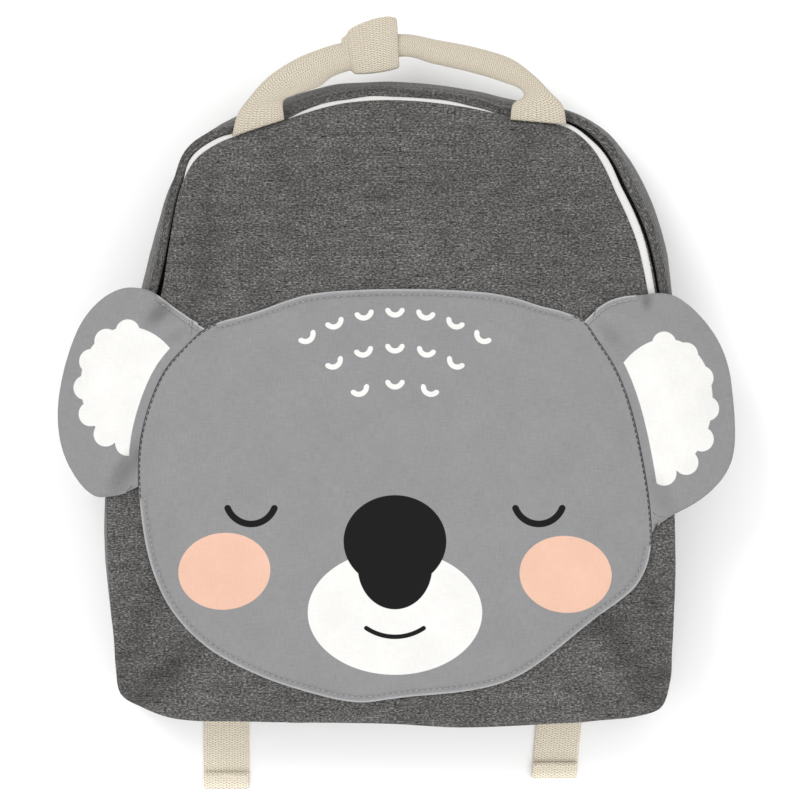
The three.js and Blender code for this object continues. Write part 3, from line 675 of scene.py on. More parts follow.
def above_of(tree, value, threshold, slope):
    """0 below a threshold, rising to 1 above it."""
    rising = math_of(tree, "MULTIPLY", math_of(tree, "SUBTRACT", value, threshold), slope)
    return put(tree, "ShaderNodeClamp", {"Value": rising}).outputs[0]


def mark_of(tree, name):
    """A value that the mesh carries at each point."""
    return put(tree, "ShaderNodeAttribute", attribute_name=name).outputs["Fac"]


def bump_of(tree, height, strength, distance):
    """Normal with the small relief of a height."""
    inputs = {"Height": height, "Strength": strength, "Distance": distance}
    return put(tree, "ShaderNodeBump", inputs).outputs["Normal"]


def shade(colour, factor):
    """A colour made darker or lighter."""
    return tuple(min(channel * factor, 1.0) for channel in colour)


def heathered_canvas():
    """Charcoal canvas of light and dark fibres that lie along the weft, with painted shade in the front's
    folds.
    """
    material, tree, shader = new_material("heathered_canvas", 0.9, 0.10)
    base = tuple(colours().canvas)
    fleck = noise_of(tree, cloth_map(tree, 1.15 * MM, 0.70 * MM), 2.0, 0.8)
    fluff = noise_of(tree, cloth_map(tree, 1.6 * MM, 0.70 * MM), 1.0, 0.5)
    streak = noise_of(tree, cloth_map(tree, 4.0 * MM, 0.85 * MM), 1.0, 0.5)
    patch = noise_of(tree, cloth_map(tree, 14 * MM, 5 * MM), 3.0, 0.6)
    cloth = ramp_of(tree, fleck, [(0.30, shade(base, 0.10)), (0.5, base), (0.70, shade(base, 3.2))])
    cloth = blend_of(tree, above_of(tree, fluff, 0.58, 7.0), cloth, shade(base, 3.4))
    cloth = blend_of(tree, above_of(tree, streak, 0.62, 8.0), cloth, shade(base, 0.15))
    tone = ramp_of(tree, patch, [(0.28, (0.74, 0.74, 0.74)), (0.72, (1.20, 1.20, 1.20))])
    cloth = blend_of(tree, 1.0, cloth, tone, "MULTIPLY")
    wide_patch = noise_of(tree, cloth_map(tree, 70 * MM, 50 * MM), 2.0, 0.5)
    broad = ramp_of(tree, wide_patch, [(0.3, (0.88, 0.88, 0.88)), (0.7, (1.10, 1.10, 1.10))])
    cloth = blend_of(tree, 1.0, cloth, broad, "MULTIPLY")
    # Painted shade in the front's folds: darker towards near black where a fold is deeper.
    folded = math_of(tree, "MULTIPLY", mark_of(tree, "crease_shade"), 0.42)
    tree.links.new(blend_of(tree, folded, cloth, (0.012, 0.012, 0.012)), shader.inputs["Base Color"])
    height = math_of(tree, "ADD", fleck, math_of(tree, "MULTIPLY", fluff, 0.6))
    tree.links.new(bump_of(tree, height, 0.5, 0.35 * MM), shader.inputs["Normal"])
    return material


PRINT_EDGE = 0.1 * MM  # half the soft edge of a printed mark


def print_group(name, size_inputs):
    """Begins a group that tells where a mark is printed. Gives its inputs and the place turned with it."""
    group = bpy.data.node_groups.new(name, "ShaderNodeTree")
    kinds = {"Place": "NodeSocketVector", "Middle": "NodeSocketVector", "Turn": "NodeSocketFloat"}
    for label, kind in (kinds | size_inputs).items():
        group.interface.new_socket(label, in_out="INPUT", socket_type=kind)
    group.interface.new_socket("Mask", in_out="OUTPUT", socket_type="NodeSocketFloat")
    given = group.nodes.new("NodeGroupInput").outputs
    moved = put(group, "ShaderNodeVectorMath", {0: given["Place"], 1: given["Middle"]}, operation="SUBTRACT")
    turned = put(group, "ShaderNodeVectorRotate", {"Vector": moved.outputs[0], "Angle": given["Turn"]},
                 rotation_type="Z_AXIS")
    return group, given, turned.outputs[0]


def give_mask(group, inside):
    """Ends such a group: 1 where the distance inside the mark is above 0, else 0."""
    limits = {"Value": inside, "From Min": -PRINT_EDGE, "From Max": PRINT_EDGE}
    mask = put(group, "ShaderNodeMapRange", limits).outputs[0]
    group.links.new(mask, group.nodes.new("NodeGroupOutput").inputs["Mask"])
    return group


def oval_print():
    """Group: 1 inside a turned oval, 0 outside it."""
    name = "printed oval"
    if name in bpy.data.node_groups:
        return bpy.data.node_groups[name]
    group, given, place = print_group(name, {"Half size": "NodeSocketVector"})
    scaled = put(group, "ShaderNodeVectorMath", {0: place, 1: given["Half size"]}, operation="DIVIDE")
    flat = put(group, "ShaderNodeVectorMath", {0: scaled.outputs[0], 1: (1, 1, 0)}, operation="MULTIPLY")
    length = put(group, "ShaderNodeVectorMath", {0: flat.outputs[0]}, operation="LENGTH").outputs["Value"]
    size = put(group, "ShaderNodeSeparateXYZ", {0: given["Half size"]}).outputs[0]
    return give_mask(group, math_of(group, "MULTIPLY", math_of(group, "SUBTRACT", 1.0, length), size))


def length_of(tree, first, second):
    """Length of the slope over two sides at a right angle."""
    squares = [math_of(tree, "MULTIPLY", side, side) for side in (first, second)]
    return math_of(tree, "SQRT", math_of(tree, "ADD", *squares))


def arc_print():
    """Group: 1 on a stroke along an arc with round ends, 0 elsewhere. Unturned, the arc's middle is up."""
    name = "printed stroke"
    if name in bpy.data.node_groups:
        return bpy.data.node_groups[name]
    group, given, place = print_group(name, {"Radius": "NodeSocketFloat", "Half angle": "NodeSocketFloat",
                                             "Thickness": "NodeSocketFloat"})
    parts = put(group, "ShaderNodeSeparateXYZ", {0: place}).outputs
    across = math_of(group, "ABSOLUTE", parts[0])
    reach = length_of(group, across, parts[1])
    angle = math_of(group, "ARCTAN2", across, parts[1])
    over = math_of(group, "MAXIMUM", math_of(group, "SUBTRACT", angle, given["Half angle"]), 0.0)
    aside = math_of(group, "MULTIPLY", over, given["Radius"])
    beyond = math_of(group, "SUBTRACT", reach, given["Radius"])
    half = math_of(group, "MULTIPLY", given["Thickness"], 0.5)
    return give_mask(group, math_of(group, "SUBTRACT", half, length_of(group, aside, beyond)))


def printed(tree, group, **inputs):
    """Mask of one printed mark."""
    node = tree.nodes.new("ShaderNodeGroup")
    node.node_tree = group
    for key, value in inputs.items():
        socket = node.inputs[key.replace("_", " ").capitalize()]
        if isinstance(value, bpy.types.NodeSocket):
            tree.links.new(value, socket)
        else:
            socket.default_value = value
    return node.outputs["Mask"]


def together(tree, masks):
    """Largest of several masks."""
    whole = masks[0]
    for mask in masks[1:]:
        whole = math_of(tree, "MAXIMUM", whole, mask)
    return whole


def plain_weave(tree):
    """Light and dark of a fine plain weave, about 0.5."""
    warp = noise_of(tree, cloth_map(tree, 0.50 * MM, 5.0 * MM), 2.0, 0.5)
    weft = noise_of(tree, cloth_map(tree, 5.0 * MM, 0.50 * MM), 2.0, 0.5)
    return math_of(tree, "MULTIPLY", math_of(tree, "ADD", warp, weft), 0.5)


def margin_of(tree):
    """0 beside a seam, 1 where the cloth is far enough from it to carry print."""
    return above_of(tree, mark_of(tree, "seam"), 4.2 * MM, 1 / (0.25 * MM))


def printed_cloth(name, masks_by_ink):
    """Grey plain-weave cloth with printed areas; the weave stays visible through the ink. It carries a
    painted highlight on the turned edge and painted shade in the topstitch's groove and in creases.
    """
    material, tree, shader = new_material(name, 0.92, 0.02)
    base = tuple(colours().head)
    weave = plain_weave(tree)
    mottle = noise_of(tree, cloth_map(tree, 22 * MM, 22 * MM), 3.0, 0.6)
    cloth = ramp_of(tree, weave, [(0.30, shade(base, 0.88)), (0.5, base), (0.70, shade(base, 1.10))])
    # Painted light by inset from the rim: a painted highlight on the rounded turned edge, then painted shade
    # in the groove under the topstitch.
    edge_highlight_groove_shade = [(0.0, 1.75), (0.10, 1.70), (0.17, 1.06), (0.38, 1.02), (0.44, 0.70), (0.51, 1.0)]
    share = math_of(tree, "DIVIDE", mark_of(tree, "inset"), 6 * MM)
    lip = ramp_of(tree, share, [(place, (grey, grey, grey)) for place, grey in edge_highlight_groove_shade])
    cloth = blend_of(tree, 1.0, cloth, lip, "MULTIPLY")
    inks = {"white": (0.69, 0.685, 0.67), "peach": tuple(colours().cheek), "black": (0.004, 0.004, 0.004)}
    coordinates = put(tree, "ShaderNodeTexCoord").outputs["Object"]
    for ink in ("white", "peach", "black"):
        masks = masks_by_ink(tree, coordinates).get(ink)
        if masks:
            thin = ramp_of(tree, weave, [(0.30, shade(inks[ink], 0.93)), (0.70, shade(inks[ink], 1.03))])
            inked = math_of(tree, "MULTIPLY", together(tree, masks), margin_of(tree))
            cloth = blend_of(tree, inked, cloth, thin)
    tone = ramp_of(tree, mottle, [(0.25, (0.95, 0.95, 0.95)), (0.75, (1.04, 1.04, 1.04))])
    cloth = blend_of(tree, 1.0, cloth, tone, "MULTIPLY")
    # Painted shade in creases: darker towards near black where a crease is deeper.
    folded = math_of(tree, "MULTIPLY", mark_of(tree, "crease_shade"), 0.40)
    tree.links.new(blend_of(tree, folded, cloth, (0.02, 0.02, 0.02)), shader.inputs["Base Color"])
    tree.links.new(bump_of(tree, weave, 0.35, 0.30 * MM), shader.inputs["Normal"])
    return material


def printed_head():
    """Printed cloth of the head: closed eyes, a nose on a muzzle, cheeks and arched rows of fur marks."""
    low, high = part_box("face_panel")
    middle = (low + high) / 2
    half_wide, half_tall = (high.x - low.x) / 2, (high.y - low.y) / 2
    oval, arc = oval_print(), arc_print()

    def place(across, up):
        return (middle.x + across * half_wide, middle.y + up * half_tall, 0)

    def masks(tree, coordinates):
        found = {}
        for row in PRINTED_OVALS:
            mask = printed(tree, oval, place=coordinates, middle=place(row["across"], row["up"]),
                           turn=-math.radians(row["turn"]),
                           half_size=(row["wide"] * half_wide, row["tall"] * half_wide, 1))
            found.setdefault(row["ink"], []).append(mask)
        for row in PRINTED_ARCS:
            mask = printed(tree, arc, place=coordinates, middle=place(row["across"], row["up"]),
                           turn=-math.radians(row["turn"]), radius=row["radius"] * half_wide,
                           half_angle=math.radians(row["half_angle"]), thickness=row["thick"] * half_wide)
            found.setdefault(row["ink"], []).append(mask)
        for row in FUR_ROWS:
            for k in range(row["count"]):
                bearing = math.radians(row["spread"] * (2 * k / (row["count"] - 1) - 1))
                centre = place(row["reach"] * math.sin(bearing), 0)
                up = middle.y + FUR_MIDDLE_UP * half_tall + row["reach"] * half_wide * math.cos(bearing)
                mask = printed(tree, arc, place=coordinates, middle=(centre[0], up, 0),
                               turn=bearing + math.pi, radius=FUR_RADIUS * half_wide,
                               half_angle=math.radians(FUR_HALF_ANGLE), thickness=FUR_THICK * half_wide)
                found.setdefault("white", []).append(mask)
        return found

    return printed_cloth("printed_head", masks)


def ear_cloth(name, node):
    """Printed cloth of an ear: a white inner ear with a scalloped outer edge."""
    low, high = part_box(node)
    sign = -1 if node == "ear_left" else 1
    inner = high.x if sign < 0 else low.x
    wide, tall = high.x - low.x, high.y - low.y
    middle = Vector((inner + sign * 0.50 * wide, (low.y + high.y) / 2 + 0.02 * tall, 0))
    half = (0.34 * wide, 0.29 * tall, 1)
    oval = oval_print()

    def masks(tree, coordinates):
        turn = sign * math.radians(14)
        found = [printed(tree, oval, place=coordinates, middle=tuple(middle), turn=turn, half_size=half)]
        for k in range(7):
            bearing = math.radians(-84 + 28 * k)
            x = sign * math.cos(bearing) * half[0] * 0.92
            y = math.sin(bearing) * half[1] * 0.92
            found.append(printed(tree, oval, place=coordinates, middle=(middle.x + x, middle.y + y, 0),
                                 turn=0.0, half_size=(5.6 * MM, 5.6 * MM, 1)))
        return {"white": found}

    return printed_cloth(name, masks)


def woven_cotton(name, tone):
    """Natural webbing in fine chevrons that point along it. tone: its brightness against the tails' cotton;
    below 1 it is painted shade on the same cotton.
    """
    material, tree, shader = new_material(name, 0.88, 0.10)
    base = shade(tuple(colours().webbing), tone)
    uv = put(tree, "ShaderNodeUVMap", uv_map="cloth").outputs["UV"]
    parts = put(tree, "ShaderNodeSeparateXYZ", {0: uv}).outputs
    column = math_of(tree, "PINGPONG", math_of(tree, "DIVIDE", parts[0], 1.3 * MM), 1.0)
    slant = math_of(tree, "MULTIPLY", column, 0.8)
    phase = math_of(tree, "ADD", math_of(tree, "DIVIDE", parts[1], 1.1 * MM), slant)
    yarn = math_of(tree, "SINE", math_of(tree, "MULTIPLY", phase, 2 * math.pi))
    edge = math_of(tree, "ABSOLUTE", math_of(tree, "MULTIPLY_ADD", column, 2.0, -1.0))
    groove = math_of(tree, "MULTIPLY", math_of(tree, "POWER", edge, 6.0), 0.6)
    height = math_of(tree, "SUBTRACT", math_of(tree, "MULTIPLY_ADD", yarn, 0.5, 0.5), groove)
    fibre = noise_of(tree, cloth_map(tree, 0.7 * MM, 0.7 * MM), 3.0, 0.6)
    stray = math_of(tree, "MULTIPLY", math_of(tree, "SUBTRACT", fibre, 0.5), 1.8)
    uneven = math_of(tree, "ADD", height, stray)
    cloth = ramp_of(tree, uneven, [(0.0, shade(base, 0.60)), (0.45, base), (1.0, shade(base, 1.20))])
    tree.links.new(cloth, shader.inputs["Base Color"])
    tree.links.new(bump_of(tree, uneven, 0.55, 0.35 * MM), shader.inputs["Normal"])
    return material


def ribbed_tape():
    """White tape with fine ribs across it."""
    material, tree, shader = new_material("ribbed_tape", 0.85, 0.1)
    uv = put(tree, "ShaderNodeUVMap", uv_map="cloth").outputs["UV"]
    along = put(tree, "ShaderNodeSeparateXYZ", {0: uv}).outputs[0]
    rib = math_of(tree, "SINE", math_of(tree, "MULTIPLY", along, 2 * math.pi / (0.9 * MM)))
    fibre = noise_of(tree, cloth_map(tree, 1.2 * MM, 1.2 * MM), 2.0, 0.5)
    fluff = math_of(tree, "MULTIPLY", fibre, 0.5)
    height = math_of(tree, "ADD", math_of(tree, "MULTIPLY_ADD", rib, 0.25, 0.25), fluff)
    tree.links.new(ramp_of(tree, height, [(0.0, (0.52, 0.515, 0.50)), (1.0, (0.74, 0.735, 0.72))]),
                   shader.inputs["Base Color"])
    tree.links.new(bump_of(tree, height, 0.4, 0.2 * MM), shader.inputs["Normal"])
    return material


def moulded_plastic(name, colour, roughness):
    """Plain plastic with a fine grain."""
    material, tree, shader = new_material(name, roughness)
    shader.inputs["Specular IOR Level"].default_value = 0.5
    grain = grain_of(tree, 0.8 * MM, 3.0)
    tree.links.new(ramp_of(tree, grain, [(0.3, shade(colour, 0.85)), (0.7, shade(colour, 1.15))]),
                   shader.inputs["Base Color"])
    tree.links.new(bump_of(tree, grain, 0.2, 0.05 * MM), shader.inputs["Normal"])
    return material


def sewing_thread(name, colour):
    """Thread with the light and dark of its twist."""
    material, tree, shader = new_material(name, 0.7, 0.1)
    twist = grain_of(tree, 0.35 * MM, 2.0)
    tree.links.new(ramp_of(tree, twist, [(0.3, shade(colour, 0.7)), (0.7, shade(colour, 1.3))]),
                   shader.inputs["Base Color"])
    tree.links.new(bump_of(tree, twist, 0.4, 0.1 * MM), shader.inputs["Normal"])
    return material


def finish_named(name):
    """A material of this file, made when it is first asked for."""
    makers = {
        "heathered_canvas": heathered_canvas,
        "printed_head": printed_head,
        "tail_cotton": lambda: woven_cotton("tail_cotton", 1.0),
        # The handle is the tails' cotton painted darker: painted shade.
        "shaded_handle_cotton": lambda: woven_cotton("shaded_handle_cotton", 0.64),
        "ribbed_tape": ribbed_tape,
        # Coil and bed near black: painted shade, so the deep gap beside the tape reads dark.
        "shade_black_zip_plastic": lambda: moulded_plastic("shade_black_zip_plastic", (0.010, 0.010, 0.010), 0.6),
        "black_plastic": lambda: moulded_plastic("black_plastic", (0.018, 0.018, 0.018), 0.42),
        "dark_thread": lambda: sewing_thread("dark_thread", (0.030, 0.030, 0.032)),
        "grey_thread": lambda: sewing_thread("grey_thread", (0.30, 0.30, 0.305)),
        "canvas_thread": lambda: sewing_thread("canvas_thread", (0.055, 0.055, 0.055)),
        "cream_thread": lambda: sewing_thread("cream_thread", (0.62, 0.54, 0.43)),
    }
    return bpy.data.materials.get(name) or makers[name]()


# Repeats along a line

def bead_tree():
    """Geometry Nodes: rounded beads spaced evenly along a line, turned to follow it."""
    name = "beads along a line"
    if name in bpy.data.node_groups:
        return bpy.data.node_groups[name]
    tree = bpy.data.node_groups.new(name, "GeometryNodeTree")
    for label, kind in (("Line", "NodeSocketGeometry"), ("Pitch", "NodeSocketFloat"),
                        ("Bead size", "NodeSocketVector"), ("Finish", "NodeSocketMaterial")):
        tree.interface.new_socket(label, in_out="INPUT", socket_type=kind)
    tree.interface.new_socket("Beads", in_out="OUTPUT", socket_type="NodeSocketGeometry")
    given = tree.nodes.new("NodeGroupInput").outputs
    curve = put(tree, "GeometryNodeMeshToCurve", {"Mesh": given["Line"]}).outputs[0]
    inputs = {"Curve": curve, "Length": given["Pitch"]}
    spaced = put(tree, "GeometryNodeResampleCurve", inputs, mode="LENGTH")
    along = tree.nodes.new("GeometryNodeInputTangent").outputs[0]
    turned = put(tree, "FunctionNodeAlignEulerToVector", {"Vector": along}, axis="X").outputs[0]
    bead = put(tree, "GeometryNodeMeshUVSphere", {"Segments": 8, "Rings": 6, "Radius": 0.5}).outputs["Mesh"]
    rounded = put(tree, "GeometryNodeSetShadeSmooth", {"Geometry": bead}).outputs[0]
    inputs = {"Points": spaced.outputs[0], "Instance": rounded, "Rotation": turned,
              "Scale": given["Bead size"]}
    placed = put(tree, "GeometryNodeInstanceOnPoints", inputs)
    real = put(tree, "GeometryNodeRealizeInstances", {"Geometry": placed.outputs[0]}).outputs[0]
    painted = put(tree, "GeometryNodeSetMaterial", {"Geometry": real, "Material": given["Finish"]})
    tree.links.new(painted.outputs[0], tree.nodes.new("NodeGroupOutput").inputs["Beads"])
    return tree


def beads(name, lines, pitch, bead_size, finish, slot):
    """Plain mesh of beads along one or more lines of points."""
    points, edges = [], []
    for line in lines:
        start = len(points)
        points += [tuple(point) for point in line]
        edges += [(start + i, start + i + 1) for i in range(len(line) - 1)]
    mesh = bpy.data.meshes.new(name + "_line")
    mesh.from_pydata(points, edges, [])
    line_object = bpy.data.objects.new(name + "_line", mesh)
    bpy.context.scene.collection.objects.link(line_object)
    modifier = line_object.modifiers.new("beads", "NODES")
    modifier.node_group = bead_tree()
    values = {"Pitch": pitch, "Bead size": bead_size, "Finish": finish_named(finish)}
    for item in modifier.node_group.interface.items_tree:
        if item.in_out == "INPUT" and item.name in values:
            modifier[item.identifier] = values[item.name]
    graph = bpy.context.evaluated_depsgraph_get()
    made = bpy.data.meshes.new_from_object(line_object.evaluated_get(graph))
    bpy.data.objects.remove(line_object)
    made.name = name
    if not made.materials:
        made.materials.append(finish_named(finish))
    piece = bpy.data.objects.new(name, made)
    bpy.context.scene.collection.objects.link(piece)
    return dress(piece, slot)


def stitch_size():
    """Length, width and height of a stitch."""
    return (sizes().stitch_length, sizes().thread_width, sizes().thread_width * 0.8)


# Body

def panel_top(x, y, inset):
    """Front panel with a rolled edge and puckers beside the seam."""
    roll = 1.7 * MM * (1 - smooth(inset / (3.2 * MM))) ** 2
    bearing = np.arctan2(y - MIDDLE[1], x - MIDDLE[0])
    run = bearing * 130 * MM
    near = np.exp(-inset / (7 * MM)) * smooth(inset / (1.5 * MM))
    gathers = lumps(run, inset * 0.3, 6 * MM, 5) + 0.6 * lumps(run, inset * 0.3, 13 * MM, 6)
    return front_height(x, y) - roll + sizes().pucker * near * gathers


class BACKPACK_OT_front_panel(bpy.types.Operator):
    """Front panel of heathered canvas, crowned by a light filling"""

    bl_idname = "backpack.front_panel"
    bl_label = "Front panel"

    def execute(self, context):
        insets = [step * MM for step in (0, 0.4, 0.9, 1.5, 2.2, 3.1, 4.2, 5.6, 7.5, 10, 13)]
        rim = closed_line(SEAM[:, :2], 420)

        def wall_at(inset):
            return np.full(np.shape(inset), CLOTH * 0.9)

        canvas = finish_named("heathered_canvas")
        panel = sheet_object("canvas_front", rim, insets, 56, MIDDLE, panel_top, wall_at, canvas)
        # Painted shade in the folds: full where a fold is this deep, less in shallower ones.
        darkest = 2.8 * MM
        set_mark(panel.data, "crease_shade", np.clip(folds_at(*places_of(panel.data)) / darkest, 0, 1))
        dress(panel, "heather_canvas", "front_panel")
        return {"FINISHED"}


def seam_show(stations):
    """Tape, canvas strip, gap and outer edge at each station round the seam, in metres."""
    bearings = np.degrees(np.arctan2(stations[:, 1] - MIDDLE[1], stations[:, 0] - MIDDLE[0]))
    known = spline([tuple(row.values()) for row in SEAM_SHOW], False, 8)
    turned = np.where(bearings < known[0, 0], bearings + 360, bearings)
    return [np.maximum(np.interp(turned, known[:, 0], column), 0) * MM for column in known.T[1:]]


def seam_stretch(upper, count):
    """Stations along the seam above or below the zip's ends, anticlockwise, and their outward directions."""
    level = MIDDLE[1] + ZIP_END
    wanted = (SEAM[:, 1] > level) == upper
    first = int(np.argmax(wanted & ~np.roll(wanted, 1)))
    turned = np.roll(SEAM, -first, axis=0)
    size = int(np.count_nonzero(wanted))
    stop = level + (JOINT_GAP if upper else -JOINT_GAP) / 2
    ends = []
    for last, beyond in ((turned[0], turned[-1]), (turned[size - 1], turned[size])):
        ends.append(last + (beyond - last) * max((stop - last[1]) / (beyond[1] - last[1]), 0))
    stations = resample(np.vstack([ends[:1], turned[:size], ends[1:]]), count)
    return stations, sideways(stations, False)


def lapped(stations, outward, outs, heights, wall):
    """A band's rows with a lap added at each end, which lies behind the other band's end as if sewn."""
    for end, before in ((0, 1), (-1, -2)):
        onward = (stations[end] - stations[before]) / np.linalg.norm(stations[end] - stations[before])
        low, high = heights[-1, end], heights[0, end]
        squeeze = (high - low - 8 * MM) / (high - low)
        added = []
        for row in GUSSET_LAP[::-1] if end == 0 else GUSSET_LAP:
            added.append((stations[end] + onward * row["ahead"] * MM, outward[end],
                          outs[:, end] - wall - row["behind"] * MM,
                          low + 1 * MM + (heights[:, end] - low) * squeeze))
        places, sides, lap_outs, lap_heights = [np.array(column) for column in zip(*added)]
        first = slice(None, None, -1 if end == 0 else 1)
        stations = np.vstack([stations, places][first])
        outward = np.vstack([outward, sides][first])
        outs = np.hstack([outs, lap_outs.T][first])
        heights = np.hstack([heights, lap_heights.T][first])
    return stations, outward, outs, heights


def band_sections(stations, outward, outs, heights, wall):
    """Sections of a band from its out and height rows, with an inner face a wall's thickness inside."""
    faces = []
    for shift, order in ((0, 1), (wall, -1)):
        face = []
        for out, height in list(zip(outs, heights))[::order]:
            place = stations[:, :2] + outward * (out - shift)[:, None]
            face.append(np.column_stack([place, height]))
        faces += face
    return np.stack(faces, axis=1)


def band_map(stations, sections):
    """Map of a band in metres: along its length and across its faces."""
    along = runs_along(stations[:, :2])
    across = np.linalg.norm(np.diff(sections, axis=1), axis=2)
    across = np.concatenate([np.zeros((len(stations), 1)), np.cumsum(across, axis=1)], axis=1)
    return np.stack([np.broadcast_to(along[:, None], across.shape), across], axis=2), along


SLIDER_MIDDLE = (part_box("zip_slider")[0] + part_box("zip_slider")[1]) / 2


def gusset_rows(stations, outward, start, edge, top, upper):
    """Out and height of each row of a gusset, from the zip down to the back."""
    foot_share = GUSSET_SECTION[-1]["out"]
    shown = np.maximum(edge - start, 1.2 * MM)
    foot = stations[:, :2] + outward * (start + shown * foot_share)[:, None]
    bottom = rest_height(foot[:, 0], foot[:, 1]) + 2.2 * MM
    over_slider = 2.4 * MM * np.exp(-((stations[:, 1] - SLIDER_MIDDLE.y) / (9 * MM)) ** 2)
    over_slider *= stations[:, 0] < MIDDLE[0]
    lip_fall, lip_out, lip_under, lip_more = (size * MM if upper else 0.0 for size in (3.0, 2.4, 0.9, 2.1))
    run = runs_along(stations[:, :2])
    sewn = smooth(np.minimum(run, run[-1] - run) / (12 * MM))
    outs, heights = [], []
    if upper:
        for row in GUSSET_LIP:
            outs.append(start + row["out"] * MM)
            heights.append(top + row["up"] * MM)
    for down, out in spline([tuple(row.values()) for row in GUSSET_SECTION], False, 4):
        soft = math.sin(math.pi * min(max(down, 0), 1))
        wave = lumps(run, np.full(len(run), down * 60 * MM), 26 * MM, 11 if upper else 12)
        fine = lumps(run, np.full(len(run), down * 30 * MM), 11 * MM, 13)
        wrinkle = (0.9 * wave + 0.35 * fine) * MM * soft * sewn
        under_lip = 0.55 + 0.45 * out if upper and down < 0.1 else 1
        outs.append(start + under_lip * shown * out + lip_out * (1 - out) + wrinkle
                    + over_slider * smooth(out / 0.4))
        heights.append(top - lip_under - ((top - lip_fall) - bottom + lip_more) * down)
    return np.array(outs), np.array(heights)


class BACKPACK_OT_gussets(bpy.types.Operator):
    """Canvas bands round the dome and round the base, and the topstitch of the upper one"""

    bl_idname = "backpack.gussets"
    bl_label = "Gussets"

    def execute(self, context):
        self.band("canvas_gusset_top", "gusset_top", True, 68 * MM)
        self.band("canvas_gusset_base", "gusset_base", False, 64 * MM)
        return {"FINISHED"}

    def band(self, name, node, upper, flat_width):
        stations, outward = seam_stretch(upper, 420)
        tape, canvas, gap, edge = seam_show(stations)
        start = tape + canvas + gap - (0 if upper else 1.0 * MM)
        top = stations[:, 2] - (3.0 if upper else 2.4) * MM
        outs, heights = gusset_rows(stations, outward, start, edge, top, upper)
        wall = CLOTH * 0.9
        places, sides = stations, outward
        if not upper:
            places, sides, outs, heights = lapped(stations, outward, outs, heights, wall)
        sections = band_sections(places, sides, outs, heights, wall)
        uv, along = band_map(places, sections)
        band = loft_object(name, sections, finish_named("heathered_canvas"), uv)
        dress(band, "heather_canvas", node)
        if upper:
            place = stations[:, :2] + outward * (start + 1.6 * MM)[:, None]
            line = np.column_stack([place, top + 0.05 * MM])
            beads("gusset_topstitch", [resample(line, 600)], sizes().stitch_pitch, stitch_size(),
                  "canvas_thread", "heather_canvas")


class BACKPACK_OT_zip(bpy.types.Operator):
    """White tape, closed coil and slider round the dome"""

    bl_idname = "backpack.zip"
    bl_label = "Zip"

    def execute(self, context):
        stations, outward = seam_stretch(True, 420)
        tape, canvas, gap = seam_show(stations)[:3]
        top = stations[:, 2] - 2.1 * MM
        self.tape(stations, outward, tape, top)
        self.strip(stations, outward, tape, canvas, top)
        self.coil(stations, outward, tape + canvas, gap, top)
        bevelled("zip_slider", "black_plastic", 0.5 * MM)
        return {"FINISHED"}

    def tape(self, stations, outward, tape, top):
        """White tape, wavy where it shows."""
        run = np.linspace(0, 0.5, len(stations))
        wavy = lumps(run, np.zeros(len(run)), 14 * MM, 21) * 0.55 * MM * smooth(tape / (1 * MM))
        hidden = [np.full(len(stations), out * MM) for out in (-2.5, -0.5)]
        outs = hidden + [tape * 0.45, tape * 0.85 + wavy, tape + wavy, tape + 0.15 * MM + wavy]
        heights = [top - down * MM for down in (1.0, 0.0, 0.35, 0.9, 1.4, 3.0)]
        sections = band_sections(stations, outward, outs, heights, 0.9 * MM)
        uv, along = band_map(stations, sections)
        band = loft_object("tape_band", sections, finish_named("ribbed_tape"), uv)
        dress(band, "white_tape", "zip_tape")

    def coil(self, stations, outward, inner, gap, top):
        """Closed coil on its bed, deeper where the gap is wide; both are near black, painted shade for the
        gap.
        """
        low = top - 4.6 * MM - 1.4 * np.maximum(gap - 1 * MM, 0)
        outs = [inner - 0.6 * MM, inner + gap * 0.5, inner + gap + 0.4 * MM]
        heights = [low, low - 0.3 * MM, low - 1.2 * MM]
        sections = band_sections(stations, outward, outs, heights, 1.2 * MM)
        bed = loft_object("zip_bed", sections, finish_named("shade_black_zip_plastic"), band_map(stations, sections)[0])
        dress(bed, "zip_coil", "zip_coil")
        place = stations[:, :2] + outward * (inner + gap * 0.5)[:, None]
        line = np.column_stack([place, low + 0.2 * MM])
        tooth = (0.9 * MM, 2.6 * MM, 1.1 * MM)
        beads("zip_teeth", [resample(line, 700)], 1.4 * MM, tooth, "shade_black_zip_plastic", "zip_coil")

    def strip(self, stations, outward, tape, canvas, top):
        """Narrow canvas edge that shows between the tape and the zip on the right."""
        shown = canvas > 0.15 * MM
        part, out, tape, canvas, top = (values[shown] for values in (stations, outward, tape, canvas, top))
        outs = [tape - 2.0 * MM, tape + 0.1 * MM, tape + canvas * 0.6, tape + canvas]
        heights = [top - 2.2 * MM, top - 1.5 * MM, top - 1.6 * MM, top - 2.4 * MM]
        sections = band_sections(part, out, outs, heights, 0.8 * MM)
        uv, along = band_map(part, sections)
        edging = loft_object("zip_edging", sections, finish_named("heathered_canvas"), uv)
        dress(edging, "heather_canvas")


def bevelled(node, finish, width):
    """Gives a hard node its finish and rounded edges."""
    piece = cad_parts[node]
    piece.data.materials.clear()
    piece.data.materials.append(finish_named(finish))
    weld = piece.modifiers.new("weld", "WELD")
    weld.merge_threshold = 1e-5
    bevel = piece.modifiers.new("bevel", "BEVEL")
    bevel.width = width
    bevel.segments = 2
    bevel.limit_method = "ANGLE"
    bevel.angle_limit = math.radians(40)


